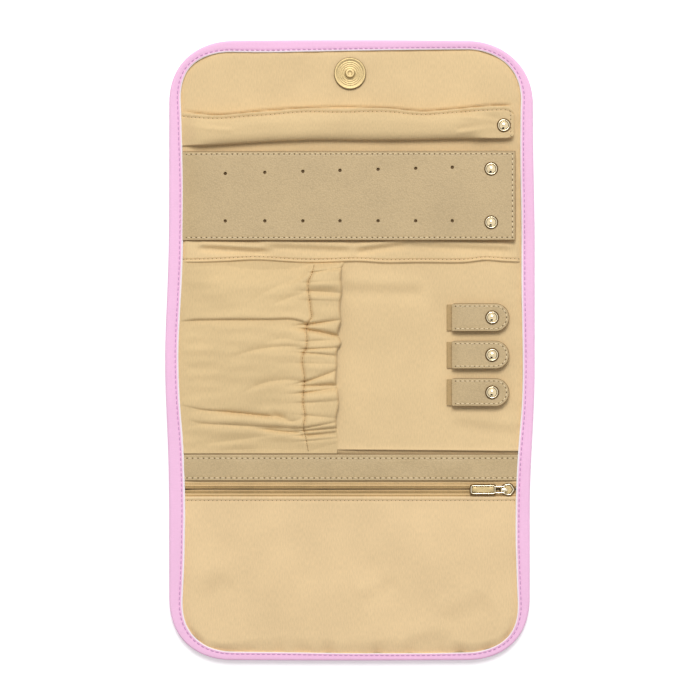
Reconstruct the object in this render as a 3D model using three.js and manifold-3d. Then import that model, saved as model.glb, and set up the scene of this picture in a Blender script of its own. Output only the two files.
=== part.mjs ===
// Jewelry roll: a padded cloth roll that folds in three, with a magnetic flap.
// Inside it has a ring bar, an earring panel, three chain tabs, a gathered pocket and a zip pocket.
// Millimetres, +Z up. The roll lies open on its outer cover, with the flap towards +Y.

import * as THREE from 'three';
import { mergeVertices } from 'three/addons/utils/BufferGeometryUtils.js';
import Module from 'manifold-3d';

// Overall cloth size. The flap ends just past its rounded corners, and the upper panel is as long
// as it takes for the flap's magnet to meet its mate when the roll is closed.
const roll_width = 206;
const flap_straight = 1;
const middle_length = 112.8;
const lower_length = 117.7;
const corner_radius = 37;

// Cloth layers, from the outside in
const cover_cloth = 1.6;
const pad_thickness = 3.4;
const lining_cloth = 0.6;
const pocket_pad = 1;
const pocket_cloth = 0.5;

// Edge binding: a folded tape that wraps the layers
const binding_tape = 0.8;
const binding_web = 1.2;
const binding_side_width = 9;
const binding_end_width = 7.4;
const binding_inner_radius = 28;

// Clearances, and how far a cut runs past the face that it opens
const fold_gap = 0.3;
const cloth_gap = 0.3;
const shank_gap = 0.15;
const earring_skin_gap = 0.1;
const over_cut = 1;

// Snap fasteners
const snap_cap_diameter = 8;
const snap_cap_height = 1.4;
const snap_cap_edge = 0.7;
const snap_cap_crest_diameter = 5.8;
const snap_cap_dish_diameter = 3.2;
const snap_cap_dish = 0.25;
const snap_flange_diameter = 8.4;
const snap_flange = 0.7;
const snap_bevel = 0.3;
const snap_ball_diameter = 3.8;
const snap_ball_neck_diameter = 3.2;
const snap_ball_top_diameter = 2.7;
const snap_ball_height = 1.3;
const snap_ball_crown = 0.5;
const snap_lift = 1;
const socket_height = 2;
const socket_mouth_diameter = 5;
const socket_roof = 0.6;
const shank_diameter = 2.2;
const shank_spread = 0.2;
const rivet_flange_diameter = 5;
const rivet_flange = 0.5;

// Magnetic snap on the flap, and its mate on the outside of the lower panel
const magnet_diameter = 18;
const magnet_height = 1.8;
const magnet_rim = 0.5;
const magnet_nub_diameter = 5.4;
const magnet_nub_height = 1.2;
const magnet_nub_bevel = 0.3;
const magnet_from_flap_fold = 18;
const flap_closing_angle = THREE.MathUtils.degToRad(15);
const mate_height = 1.1;
const mate_hole_diameter = 6.4;
const mate_from_lower_fold = 13;
const backplate_diameter = 16;
const backplate_thickness = 0.6;
const prong_width = 3;
const prong_thickness = 0.6;
const prong_spacing = 9;
const magnet_sides = 28;

// Ring bar: a stuffed sleeve, sewn in at the left and snapped at the right
const ring_bar_width = 20.5;
const ring_bar_height = 8.5;
const ring_bar_from_flap_fold = 11.5;
const ring_bar_right_margin = 2;
const ring_bar_tail = 2;
const ring_bar_tail_run = 14;
const ring_bar_end_run = 12;
const ring_bar_end_length = 12;
const ring_bar_flat_curve = 0.25;
const ring_bar_round_curve = 0.7;
const sleeve_cloth = 0.8;
const filling_setback = 1;
const ring_bar_snap_from_end = 5.8;

// Earring panel: leather on a cloth backing, sewn in at the left and snapped at the right
const earring_right_margin = 1.5;
const earring_height = 50.2;
const earring_from_flap_fold = 25.8;
const earring_leather_thickness = 1.1;
const earring_backing_thickness = 0.5;
const earring_backing_inset = 0.5;
const earring_corner_radius = 1.5;
const earring_hole_diameter = 1.7;
const earring_hole_columns = 7;
const earring_first_hole = 23.9;
const earring_last_hole_from_snap = 21.8;
const earring_row_margin = 10.4;
const earring_row_spacing = 28.7;
const earring_snap_from_end = 13.3;
const earring_snap_spacing = 30;

// Chain tabs: three leather straps, each folded over from a sewn foot
const tab_count = 3;
const tab_length = 31.8;
const tab_width = 15.8;
const tab_leather = 1.6;
const tab_pitch = 21;
const tab_foot_width = 14.6;
const tab_foot_length = 10;
const tab_foot_overhang = 3.4;
const tab_foot_leather = 1.2;
const tab_wall = 1.6;
const tab_right_margin = 4.6;
const tab_snap_from_end = 9.7;
const middle_tab_from_lower_fold = 55;

// Gathered pocket, with its mouth to the right
const pocket_width = 87;
const pocket_height = 106.4;
const pocket_from_lower_fold = 0.8;
const pocket_rise = 6.3;
const pocket_shell = 0.6;
const pocket_edge_run = 9;
const pocket_edge_fullness = 0.8;
const pocket_mouth_dip = 0.4;
const pocket_gathers = 9;
const pocket_gather_depth = 0.35;
const casing_width = 18.6;
const casing_blend_start = 24.2;
const elastic_width = 11;
const elastic_thickness = 0.6;
const elastic_end_margin = 10;

// Zip pocket: leather band, coil zip and cloth front
const zip_from_lower_fold = 20.7;
const zip_slit = 1.1;
const coil_width = 1.75;
const coil_height = 0.8;
const zip_tape_width = 11;
const zip_tape_thickness = 0.5;
const pocket_depth = 1.4;
const band_leather = 1.4;
const band_from_lower_fold = 0.7;
const band_height = 15.2;
const front_below_zip = 4.4;

// Zip slider and its pull
const slider_length = 8.8;
const slider_width = 7.3;
const slider_tail_width = 4.6;
const slider_tail_length = 4.84;
const slider_nose_length = 1.5;
const slider_plate = 0.9;
const slider_right_margin = 1.2;
const slider_gap = 0.15;
const wedge_length = 3;
const wedge_thickness = 0.6;
const wedge_from_nose = 1;
const bail_from_tail = 0.5;
const bail_root = 0.2;
const bail_length = 4.2;
const bail_width = 1.6;
const bail_bar = 0.8;
const bail_window = 1.6;
const pull_length = 15;
const pull_width = 6;
const pull_thickness = 1;
const pull_corner_radius = 1;
const pull_arm_length = 4.3;
const pull_arm_width = 1;
const pull_arm_root = 0.5;
const pull_bar_thickness = 0.9;
const pull_side_gap = 0.4;

// Lines across the roll, from the flap's edge down
const flap_length = corner_radius + flap_straight;
const closed_magnet_reach = magnet_from_flap_fold * Math.cos(flap_closing_angle);
const upper_length = middle_length - mate_from_lower_fold - closed_magnet_reach;
const roll_length = flap_length + upper_length + middle_length + lower_length;
const y_top = roll_length / 2;
const y_bottom = -roll_length / 2;
const y_flap_fold = y_top - flap_length;
const y_upper_fold = y_flap_fold - upper_length;
const y_lower_fold = y_upper_fold - middle_length;
const half_width = roll_width / 2;
const lining_half_width = half_width - binding_side_width;
const lining_left = -lining_half_width;
const lining_right = lining_half_width;

// Heights of the layers
const z_cover = cover_cloth;
const z_pad = z_cover + pad_thickness;
const z_lining = z_pad + lining_cloth;
const z_binding = z_lining + binding_tape;
const z_pocket_pad = z_cover + pocket_pad;
const z_pocket_back = z_pocket_pad + lining_cloth;
const z_zip_tape = z_pocket_back + pocket_depth;
const z_zip_front = z_zip_tape + zip_tape_thickness;

// Heights of a closed snap: the socket's rim, the strap's underside
const z_socket = z_lining + snap_lift;
const z_strap = z_socket + socket_height;

// Finishes
const pink_cloth = { color: 0xf6c0e4, roughness: 0.85, metalness: 0 };
const beige_cloth = { color: 0xe5c99b, roughness: 0.75, metalness: 0 };
const tan_leather = { color: 0xc5ad84, roughness: 0.6, metalness: 0 };
const white_foam = { color: 0xf2efe6, roughness: 0.95, metalness: 0 };
const pale_gold = { color: 0xd8bd80, roughness: 0.25, metalness: 1 };
const plated_steel = { color: 0xb9b4a6, roughness: 0.4, metalness: 1 };
const brown_zip = { color: 0x9a7b52, roughness: 0.8, metalness: 0 };
const cream_elastic = { color: 0xeae0cb, roughness: 0.9, metalness: 0 };

const roll = new THREE.Group();
const wasm = await Module();
wasm.setup();

// A closed geometry as a solid that can be joined and cut
function solidOf(geometry) {
  const bare = geometry.clone();
  bare.deleteAttribute('normal');
  bare.deleteAttribute('uv');
  const merged = mergeVertices(bare, 1e-4);
  const vertProperties = new Float32Array(merged.attributes.position.array);
  const triVerts = new Uint32Array(merged.index.array);
  return new wasm.Manifold(new wasm.Mesh({ numProp: 3, vertProperties, triVerts }));
}

// A joined or cut solid as a geometry
function geometryOf(solid) {
  const mesh = solid.getMesh();
  const geometry = new THREE.BufferGeometry();
  geometry.setAttribute('position', new THREE.BufferAttribute(mesh.vertProperties, 3));
  geometry.setIndex(new THREE.BufferAttribute(mesh.triVerts, 1));
  geometry.computeVertexNormals();
  return geometry;
}

function cut(body, ...tools) {
  return geometryOf(tools.reduce((rest, tool) => rest.subtract(solidOf(tool)), solidOf(body)));
}

function join(...bodies) {
  return geometryOf(bodies.map(solidOf).reduce((whole, body) => whole.add(body)));
}

function piece(name, geometry, finish, parent = roll) {
  const mesh = new THREE.Mesh(geometry, new THREE.MeshStandardMaterial(finish));
  mesh.name = name;
  parent.add(mesh);
  return mesh;
}

// The points of a closed line, without those that repeat the one before
function distinct(points) {
  const least = 1e-4;
  return points.filter((point, i) => point.distanceTo(points.at(i - 1)) > least);
}

// A flat outline raised from one height to another
function plate(outline, z_low, z_high) {
  const arc_steps = 5;
  const { shape, holes } = outline.extractPoints(arc_steps);
  const clean = new THREE.Shape(distinct(shape));
  clean.holes = holes.map((hole) => new THREE.Path(distinct(hole)));
  const geometry = new THREE.ExtrudeGeometry(clean, { depth: z_high - z_low, bevelEnabled: false });
  return geometry.translate(0, 0, z_low);
}

function box(x_low, x_high, y_low, y_high, z_low, z_high) {
  const geometry = new THREE.BoxGeometry(x_high - x_low, y_high - y_low, z_high - z_low);
  return geometry.translate((x_low + x_high) / 2, (y_low + y_high) / 2, (z_low + z_high) / 2);
}

// A profile of [radius, height] points turned about a vertical axis
function turned(profile, x = 0, y = 0, sides = 16) {
  const points = profile.map(([radius, height]) => new THREE.Vector2(radius, height));
  return new THREE.LatheGeometry(points, sides).rotateX(Math.PI / 2).translate(x, y, 0);
}

function disc(radius, x, y, z_low, z_high, sides = 16) {
  return turned([[0, z_low], [radius, z_low], [radius, z_high], [0, z_high]], x, y, sides);
}

function circle(x, y, radius) {
  return new THREE.Path().absarc(x, y, radius, 0, 2 * Math.PI);
}

// A rectangle with its own corner radius at its low and at its high end
function roundedOutline(x_low, x_high, y_low, y_high, radius_low, radius_high) {
  const outline = new THREE.Shape();
  const quarter = Math.PI / 2;
  outline.moveTo(x_low + radius_low, y_low);
  outline.lineTo(x_high - radius_low, y_low);
  if (radius_low > 0) {
    outline.absarc(x_high - radius_low, y_low + radius_low, radius_low, -quarter, 0);
  }
  outline.lineTo(x_high, y_high - radius_high);
  if (radius_high > 0) {
    outline.absarc(x_high - radius_high, y_high - radius_high, radius_high, 0, quarter);
  }
  outline.lineTo(x_low + radius_high, y_high);
  if (radius_high > 0) {
    outline.absarc(x_low + radius_high, y_high - radius_high, radius_high, quarter, 2 * quarter);
  }
  outline.lineTo(x_low, y_low + radius_low);
  if (radius_low > 0) {
    outline.absarc(x_low + radius_low, y_low + radius_low, radius_low, 2 * quarter, 3 * quarter);
  }
  return outline;
}

// The four panels. Only the flap and the lower panel have a rounded outer end.
const panels = {
  flap: { low: y_flap_fold, high: y_top, round_low: false, round_high: true },
  upper: { low: y_upper_fold, high: y_flap_fold, round_low: false, round_high: false },
  middle: { low: y_lower_fold, high: y_upper_fold, round_low: false, round_high: false },
  lower: { low: y_bottom, high: y_lower_fold, round_low: true, round_high: false },
};

// A panel's outline, drawn in from its sides and its outer end, and cut short at its folds
function panelOutline(panel, side_inset, end_inset, radius, fold_trim = fold_gap / 2) {
  const reach = half_width - side_inset;
  const y_low = panel.low + (panel.round_low ? end_inset : fold_trim);
  const y_high = panel.high - (panel.round_high ? end_inset : fold_trim);
  return roundedOutline(
    -reach, reach, y_low, y_high, panel.round_low ? radius : 0, panel.round_high ? radius : 0,
  );
}

// Layers that are tucked into the binding stop just short of its web
const tuck = binding_web + cloth_gap;

function layer(panel, z_low, z_high, holes = []) {
  const outline = panelOutline(panel, tuck, tuck, corner_radius - tuck);
  outline.holes.push(...holes);
  return plate(outline, z_low, z_high);
}

// The outer cover lies on the table and steps up over the binding's lower lip
function cover(panel) {
  const lip = binding_tape;
  const inner = panelOutline(
    panel,
    binding_side_width + cloth_gap,
    binding_end_width + cloth_gap,
    binding_inner_radius - cloth_gap,
  );
  return join(layer(panel, lip, z_cover), plate(inner, 0, lip));
}

// The binding round a panel with a rounded end: a block hollowed to a channel, open inwards
function endBinding(panel) {
  const past_fold = -over_cut;
  const block = plate(panelOutline(panel, 0, 0, corner_radius), 0, z_binding);
  const channel = plate(
    panelOutline(panel, binding_web, binding_web, corner_radius - binding_web, past_fold),
    binding_tape, z_lining,
  );
  const opening = plate(
    panelOutline(panel, binding_side_width, binding_end_width, binding_inner_radius, past_fold),
    -over_cut, z_binding + over_cut,
  );
  return cut(block, channel, opening);
}

// The binding along one straight side, a channel that opens inwards
function sideBinding(panel, side) {
  const profile = new THREE.Shape();
  const inner = half_width - binding_side_width;
  const web = half_width - binding_web;
  profile.moveTo(inner, 0);
  profile.lineTo(half_width, 0);
  profile.lineTo(half_width, z_binding);
  profile.lineTo(inner, z_binding);
  profile.lineTo(inner, z_lining);
  profile.lineTo(web, z_lining);
  profile.lineTo(web, binding_tape);
  profile.lineTo(inner, binding_tape);
  const length = panel.high - panel.low - fold_gap;
  const geometry = new THREE.ExtrudeGeometry(profile, { depth: length, bevelEnabled: false });
  geometry.translate(0, 0, -length / 2);
  geometry.rotateX(Math.PI / 2);
  if (side < 0) {
    geometry.rotateZ(Math.PI);
  }
  return geometry.translate(0, (panel.low + panel.high) / 2, 0);
}

// Snap stud: riveted through the lining, with its ball standing up
function snapStud(x, y) {
  const shank = shank_diameter / 2;
  const flange = snap_flange_diameter / 2;
  const z_flange = z_lining + snap_flange;
  const z_ball = z_flange + snap_ball_height;
  return turned([
    [0, z_pad - rivet_flange],
    [rivet_flange_diameter / 2, z_pad - rivet_flange],
    [rivet_flange_diameter / 2, z_pad],
    [shank, z_pad],
    [shank, z_lining],
    [flange, z_lining],
    [flange - snap_bevel, z_flange],
    [snap_ball_neck_diameter / 2, z_flange],
    [snap_ball_diameter / 2, z_ball - snap_ball_crown],
    [snap_ball_top_diameter / 2, z_ball],
    [0, z_ball],
  ], x, y);
}

function studHole(x, y) {
  return circle(x, y, shank_diameter / 2 + shank_gap);
}

function rivetPocket(x, y) {
  const depth = rivet_flange + cloth_gap;
  return disc(rivet_flange_diameter / 2 + cloth_gap, x, y, z_pad - depth, z_pad + over_cut);
}

// Snap socket: a ring under the strap that grips the ball
function snapSocket(x, y, z_roof) {
  const z_rim = z_roof - socket_height;
  const mouth = socket_mouth_diameter / 2;
  const bore = shank_diameter / 2 + shank_gap;
  const outer = snap_flange_diameter / 2;
  return turned([
    [mouth, z_rim],
    [outer - snap_bevel, z_rim],
    [outer, z_rim + snap_bevel],
    [outer, z_roof],
    [bore, z_roof],
    [bore, z_roof - socket_roof],
    [mouth, z_roof - socket_roof],
    [mouth, z_rim],
  ], x, y);
}

// Snap cap: a rounded cap with a dished centre on the strap, whose shank ends inside the socket
function snapCap(x, y, z_roof, strap) {
  const radius = snap_cap_diameter / 2;
  const shank = shank_diameter / 2;
  const z_seat = z_roof + strap;
  const z_top = z_seat + snap_cap_height;
  const z_spread = z_roof - socket_roof - shank_spread;
  return turned([
    [0, z_spread],
    [shank, z_spread],
    [shank, z_seat],
    [radius, z_seat],
    [radius, z_seat + snap_cap_edge],
    [snap_cap_crest_diameter / 2, z_top],
    [snap_cap_dish_diameter / 2, z_top - snap_cap_dish],
    [0, z_top - snap_cap_dish],
  ], x, y);
}

// Two prongs of a magnetic snap or, grown by a clearance, the slots that they pass through
function prongs(y, grow, z_low, z_high) {
  return [-1, 1].map((side) => box(
    side * prong_spacing / 2 - prong_thickness / 2 - grow,
    side * prong_spacing / 2 + prong_thickness / 2 + grow,
    y - prong_width / 2 - grow,
    y + prong_width / 2 + grow,
    z_low,
    z_high,
  ));
}

function backplate(y, z_low) {
  const z_high = z_low + backplate_thickness;
  const round = disc(backplate_diameter / 2, 0, y, z_low, z_high, magnet_sides);
  return cut(round, ...prongs(y, shank_gap, z_low - over_cut, z_high + over_cut));
}

// Flap: cover, pad, lining and binding, with the magnetic snap through the lining
const y_magnet = y_flap_fold + magnet_from_flap_fold;
const z_flap_backplate = z_pad - backplate_thickness;
const backplate_room = backplate_diameter / 2 + cloth_gap;
const flap_backplate_pocket = disc(
  backplate_room, 0, y_magnet, z_flap_backplate - cloth_gap, z_pad + over_cut, magnet_sides,
);
piece('flap_cover', cover(panels.flap), pink_cloth);
piece('flap_pad', cut(layer(panels.flap, z_cover, z_pad), flap_backplate_pocket), white_foam);
piece(
  'flap_lining',
  cut(
    layer(panels.flap, z_pad, z_lining),
    ...prongs(y_magnet, shank_gap, z_pad - over_cut, z_lining + over_cut),
  ),
  beige_cloth,
);
piece('flap_binding', endBinding(panels.flap), pink_cloth);

const z_magnet = z_lining + magnet_height;
const magnet_body = turned([
  [0, z_lining],
  [magnet_diameter / 2, z_lining],
  [magnet_diameter / 2, z_magnet - magnet_rim],
  [magnet_diameter / 2 - magnet_rim, z_magnet],
  [magnet_nub_diameter / 2, z_magnet],
  [magnet_nub_diameter / 2 - magnet_nub_bevel, z_magnet + magnet_nub_height],
  [0, z_magnet + magnet_nub_height],
], 0, y_magnet, magnet_sides);
const magnet_prongs = prongs(y_magnet, 0, z_flap_backplate, z_lining + magnet_rim);
piece('flap_magnet_disc', join(magnet_body, ...magnet_prongs), pale_gold);
piece('flap_magnet_backplate', backplate(y_magnet, z_flap_backplate), plated_steel);

// Upper panel: its studs hold down the ring bar and the earring panel
const ring_bar_left = lining_left + cloth_gap;
const ring_bar_right = lining_right - ring_bar_right_margin;
const y_ring_bar = y_flap_fold - ring_bar_from_flap_fold;
const x_ring_bar_snap = ring_bar_right - ring_bar_snap_from_end;
const earring_left = lining_left + cloth_gap;
const earring_width = lining_right - earring_right_margin - earring_left;
const y_earring_top = y_flap_fold - earring_from_flap_fold;
const y_earring = y_earring_top - earring_height / 2;
const x_earring_snap = earring_left + earring_width - earring_snap_from_end;
const earring_snap_rows = [1, -1].map((row) => y_earring + row * earring_snap_spacing / 2);
const upper_studs = [
  ['ring_bar_stud', x_ring_bar_snap, y_ring_bar],
  ['earring_stud_upper', x_earring_snap, earring_snap_rows[0]],
  ['earring_stud_lower', x_earring_snap, earring_snap_rows[1]],
];
piece('upper_cover', cover(panels.upper), pink_cloth);
piece(
  'upper_pad',
  cut(layer(panels.upper, z_cover, z_pad), ...upper_studs.map(([, x, y]) => rivetPocket(x, y))),
  white_foam,
);
piece(
  'upper_lining',
  layer(panels.upper, z_pad, z_lining, upper_studs.map(([, x, y]) => studHole(x, y))),
  beige_cloth,
);
piece('upper_binding_left', sideBinding(panels.upper, -1), pink_cloth);
piece('upper_binding_right', sideBinding(panels.upper, 1), pink_cloth);
for (const [name, x, y] of upper_studs) {
  piece(name, snapStud(x, y), pale_gold);
}

// Ring bar: its section goes from a flat sewn tail to a round bar and on to a flat snapped end
const z_ring_bar = z_lining + cloth_gap;
const x_bar_flat = ring_bar_right - ring_bar_end_length;
const x_bar_full = x_bar_flat - ring_bar_end_run;

function smooth(value) {
  const t = Math.min(Math.max(value, 0), 1);
  return t * t * (3 - 2 * t);
}

// One cross-section of the bar, shrunk by an inset, as a ring of points
function barSection(x, inset, sides) {
  const swell = smooth((x - ring_bar_left) / ring_bar_tail_run);
  const flatten = smooth((x - x_bar_full) / ring_bar_end_run);
  const z_tail_top = z_ring_bar + ring_bar_tail;
  const z_bar_top = z_ring_bar + ring_bar_height;
  const z_end_top = z_strap + ring_bar_tail;
  const low = z_ring_bar + (z_strap - z_ring_bar) * flatten;
  const round_top = z_tail_top + (z_bar_top - z_tail_top) * swell;
  const top = round_top + (z_end_top - round_top) * flatten;
  const fullness = Math.min(swell, 1 - flatten);
  const curve = ring_bar_flat_curve + (ring_bar_round_curve - ring_bar_flat_curve) * fullness;
  const half_y = ring_bar_width / 2 - inset;
  const half_z = (top - low) / 2 - inset;
  return Array.from({ length: sides }, (_, i) => {
    const angle = (2 * Math.PI * i) / sides;
    const across = Math.sign(Math.cos(angle)) * Math.abs(Math.cos(angle)) ** curve;
    const up = Math.sign(Math.sin(angle)) * Math.abs(Math.sin(angle)) ** curve;
    return [x, y_ring_bar + half_y * across, (low + top) / 2 + half_z * up];
  });
}

// A closed skin over a row of rings, with a flat fan at each end
function loft(rings) {
  const sides = rings[0].length;
  const ends = [rings[0], rings[rings.length - 1]];
  const centres = ends.map((ring) => [0, 1, 2].map(
    (axis) => ring.reduce((sum, point) => sum + point[axis], 0) / sides,
  ));
  const points = [...rings.flat(), ...centres];
  const first_centre = rings.length * sides;
  const last_ring = (rings.length - 1) * sides;
  const triangles = [];
  for (let i = 0; i < sides; i += 1) {
    const next = (i + 1) % sides;
    for (let ring = 0; ring < rings.length - 1; ring += 1) {
      const near = ring * sides;
      const far = near + sides;
      triangles.push(near + i, near + next, far + i, near + next, far + next, far + i);
    }
    triangles.push(first_centre, next, i);
    triangles.push(first_centre + 1, last_ring + i, last_ring + next);
  }
  const geometry = new THREE.BufferGeometry();
  geometry.setAttribute('position', new THREE.Float32BufferAttribute(points.flat(), 3));
  geometry.setIndex(triangles);
  geometry.computeVertexNormals();
  return geometry;
}

function barLoft(x_start, x_end, inset) {
  const sides = 18;
  const tail_steps = 4;
  const end_steps = 4;
  const stations = [x_start];
  for (let i = 1; i <= tail_steps; i += 1) {
    stations.push(ring_bar_left + (ring_bar_tail_run * i) / tail_steps);
  }
  for (let i = 0; i <= end_steps; i += 1) {
    stations.push(x_bar_full + (ring_bar_end_run * i) / end_steps);
  }
  const inside = stations.filter((x, i) => i === 0 || (x > x_start && x < x_end));
  return loft([...inside, x_end].map((x) => barSection(x, inset, sides)));
}

const x_filling_end = x_bar_full + ring_bar_end_run / 2;
const shank_bore = shank_diameter / 2 + shank_gap;
const sleeve_hole = disc(
  shank_bore, x_ring_bar_snap, y_ring_bar, z_strap - over_cut, z_strap + ring_bar_tail + over_cut,
);
const sleeve_hollow = barLoft(ring_bar_left - over_cut, x_filling_end, sleeve_cloth);
piece(
  'ring_bar_sleeve',
  cut(barLoft(ring_bar_left, ring_bar_right, 0), sleeve_hollow, sleeve_hole),
  beige_cloth,
);
piece(
  'ring_bar_filling',
  barLoft(ring_bar_left + filling_setback, x_filling_end - cloth_gap, sleeve_cloth + cloth_gap / 2),
  white_foam,
);
piece('ring_bar_cap', snapCap(x_ring_bar_snap, y_ring_bar, z_strap, ring_bar_tail), pale_gold);
piece('ring_bar_socket', snapSocket(x_ring_bar_snap, y_ring_bar, z_strap), pale_gold);

// Earring panel: it rises from its sewn edge to its snaps, so it is built flat in a tilted group
const earring_group = new THREE.Group();
const z_earring = z_lining + cloth_gap;
const earring_reach = x_earring_snap - earring_left;
const earring_tilt = Math.asin((z_strap - z_earring) / earring_reach);
earring_group.position.set(earring_left, y_earring, z_earring);
earring_group.rotation.y = -earring_tilt;
roll.add(earring_group);

const earring_snap_offsets = earring_snap_rows.map((y) => y - y_earring);
const z_leather = earring_backing_thickness + earring_skin_gap;
const earring_stack = z_leather + earring_leather_thickness;

function earringOutline(inset) {
  const outline = roundedOutline(
    0, earring_width - inset, -earring_height / 2 + inset, earring_height / 2 - inset,
    earring_corner_radius, earring_corner_radius,
  );
  outline.holes.push(...earring_snap_offsets.map((y) => circle(earring_reach, y, shank_bore)));
  return outline;
}

const earring_hole_span = earring_reach - earring_first_hole - earring_last_hole_from_snap;
const earring_hole_pitch = earring_hole_span / (earring_hole_columns - 1);
const leather_outline = earringOutline(0);
for (let row = 0; row < 2; row += 1) {
  for (let column = 0; column < earring_hole_columns; column += 1) {
    const x = earring_first_hole + column * earring_hole_pitch;
    const y = earring_height / 2 - earring_row_margin - row * earring_row_spacing;
    leather_outline.holes.push(circle(x, y, earring_hole_diameter / 2));
  }
}
piece('earring_leather', plate(leather_outline, z_leather, earring_stack), tan_leather, earring_group);
piece(
  'earring_backing',
  plate(earringOutline(earring_backing_inset), 0, earring_backing_thickness),
  beige_cloth,
  earring_group,
);
['upper', 'lower'].forEach((row, i) => {
  const y = earring_snap_offsets[i];
  piece(`earring_cap_${row}`, snapCap(earring_reach, y, 0, earring_stack), pale_gold, earring_group);
  piece(`earring_socket_${row}`, snapSocket(earring_reach, y, 0), pale_gold, earring_group);
});

// Middle panel: carries the gathered pocket and the chain tabs
const tab_right = lining_right - tab_right_margin;
const tab_left = tab_right - tab_length;
const x_tab_snap = tab_right - tab_snap_from_end;
const tab_rows = Array.from(
  { length: tab_count },
  (_, i) => y_lower_fold + middle_tab_from_lower_fold + (1 - i) * tab_pitch,
);
piece('middle_cover', cover(panels.middle), pink_cloth);
piece(
  'middle_pad',
  cut(layer(panels.middle, z_cover, z_pad), ...tab_rows.map((y) => rivetPocket(x_tab_snap, y))),
  white_foam,
);
piece(
  'middle_lining',
  layer(panels.middle, z_pad, z_lining, tab_rows.map((y) => studHole(x_tab_snap, y))),
  beige_cloth,
);
piece('middle_binding_left', sideBinding(panels.middle, -1), pink_cloth);
piece('middle_binding_right', sideBinding(panels.middle, 1), pink_cloth);

// A chain tab: a foot sewn to the lining with a folded-up wall, and a strap that lifts from its edge
function tabFoot(y) {
  const x_low = tab_left - tab_foot_overhang;
  const half = tab_foot_width / 2;
  const z_foot = z_lining + tab_foot_leather;
  const foot = box(x_low, x_low + tab_foot_length, y - half, y + half, z_lining, z_foot);
  const wall = box(tab_left, tab_left + tab_wall, y - half, y + half, z_lining, z_strap - cloth_gap);
  return join(foot, wall);
}

function tabStrap(y) {
  const half = tab_width / 2;
  const outline = new THREE.Shape();
  outline.moveTo(tab_left, y - half);
  outline.lineTo(tab_right - half, y - half);
  outline.absarc(tab_right - half, y, half, -Math.PI / 2, Math.PI / 2);
  outline.lineTo(tab_left, y + half);
  outline.holes.push(circle(x_tab_snap, y, shank_bore));
  return plate(outline, z_strap, z_strap + tab_leather);
}

tab_rows.forEach((y, i) => {
  const number = i + 1;
  piece(`tab_stud_${number}`, snapStud(x_tab_snap, y), pale_gold);
  piece(`tab_base_${number}`, tabFoot(y), tan_leather);
  piece(`tab_strap_${number}`, tabStrap(y), tan_leather);
  piece(`tab_cap_${number}`, snapCap(x_tab_snap, y, z_strap, tab_leather), pale_gold);
  piece(`tab_socket_${number}`, snapSocket(x_tab_snap, y, z_strap), pale_gold);
});

// Gathered pocket: cloth sewn down on three sides that stands up between them, open at the right.
// Its main folds are valleys along lines, whose ends are shares of the pocket's width and height.
const pocket_left = lining_left + cloth_gap;
const pocket_low = y_lower_fold + pocket_from_lower_fold;
const pocket_folds = [
  { from: [0, 0.69], to: [0.76, 0.7], depth: 1.2, spread: 3.2 },
  { from: [0.37, 0.52], to: [0.8, 0.56], depth: 0.7, spread: 3 },
  { from: [0.42, 0.34], to: [0.8, 0.38], depth: 0.7, spread: 3 },
  { from: [0, 0.24], to: [0.67, 0.21], depth: 1.2, spread: 3 },
  { from: [0.02, 0.16], to: [0.8, 0.1], depth: 0.9, spread: 3 },
];

// Depth of one fold at a point, from the point's distance to the fold's line; it fades out at both ends
function foldDepth(fold, x, y) {
  const fade_run = 0.15;
  const fade_overlap = 0.3;
  const start = [fold.from[0] * pocket_width, fold.from[1] * pocket_height];
  const end = [fold.to[0] * pocket_width, fold.to[1] * pocket_height];
  const along = [end[0] - start[0], end[1] - start[1]];
  const length = Math.hypot(...along);
  const rest = [x - start[0], y - start[1]];
  const t = (rest[0] * along[0] + rest[1] * along[1]) / (length * length);
  const off = (rest[0] * along[1] - rest[1] * along[0]) / length;
  const fade = smooth(t / fade_run + fade_overlap) * smooth((1 - t) / fade_run + fade_overlap);
  return fold.depth * fade * Math.exp(-((off / fold.spread) ** 2));
}

// Height of the pocket's underside above the lining, x from the sewn edge and y from the low edge
function pocketHeight(x, y) {
  const from_left = Math.min(x / (2 * pocket_edge_run), 1);
  const from_ends = Math.min(Math.min(y, pocket_height - y) / pocket_edge_run, 1);
  const side_swell = Math.sin((from_left * Math.PI) / 2);
  const end_swell = Math.sin((from_ends * Math.PI) / 2) ** pocket_edge_fullness;
  const swell = side_swell * end_swell;
  const to_mouth = smooth((x - pocket_width + casing_blend_start) / casing_width);
  const gathers = Math.cos((2 * Math.PI * pocket_gathers * y) / pocket_height);
  const folds = pocket_folds.reduce((sum, fold) => sum + foldDepth(fold, x, y), 0);
  const crown = pocket_rise - pocket_mouth_dip * to_mouth + pocket_gather_depth * to_mouth * gathers;
  return cloth_gap + swell * (crown - folds * (1 - to_mouth));
}

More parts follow.
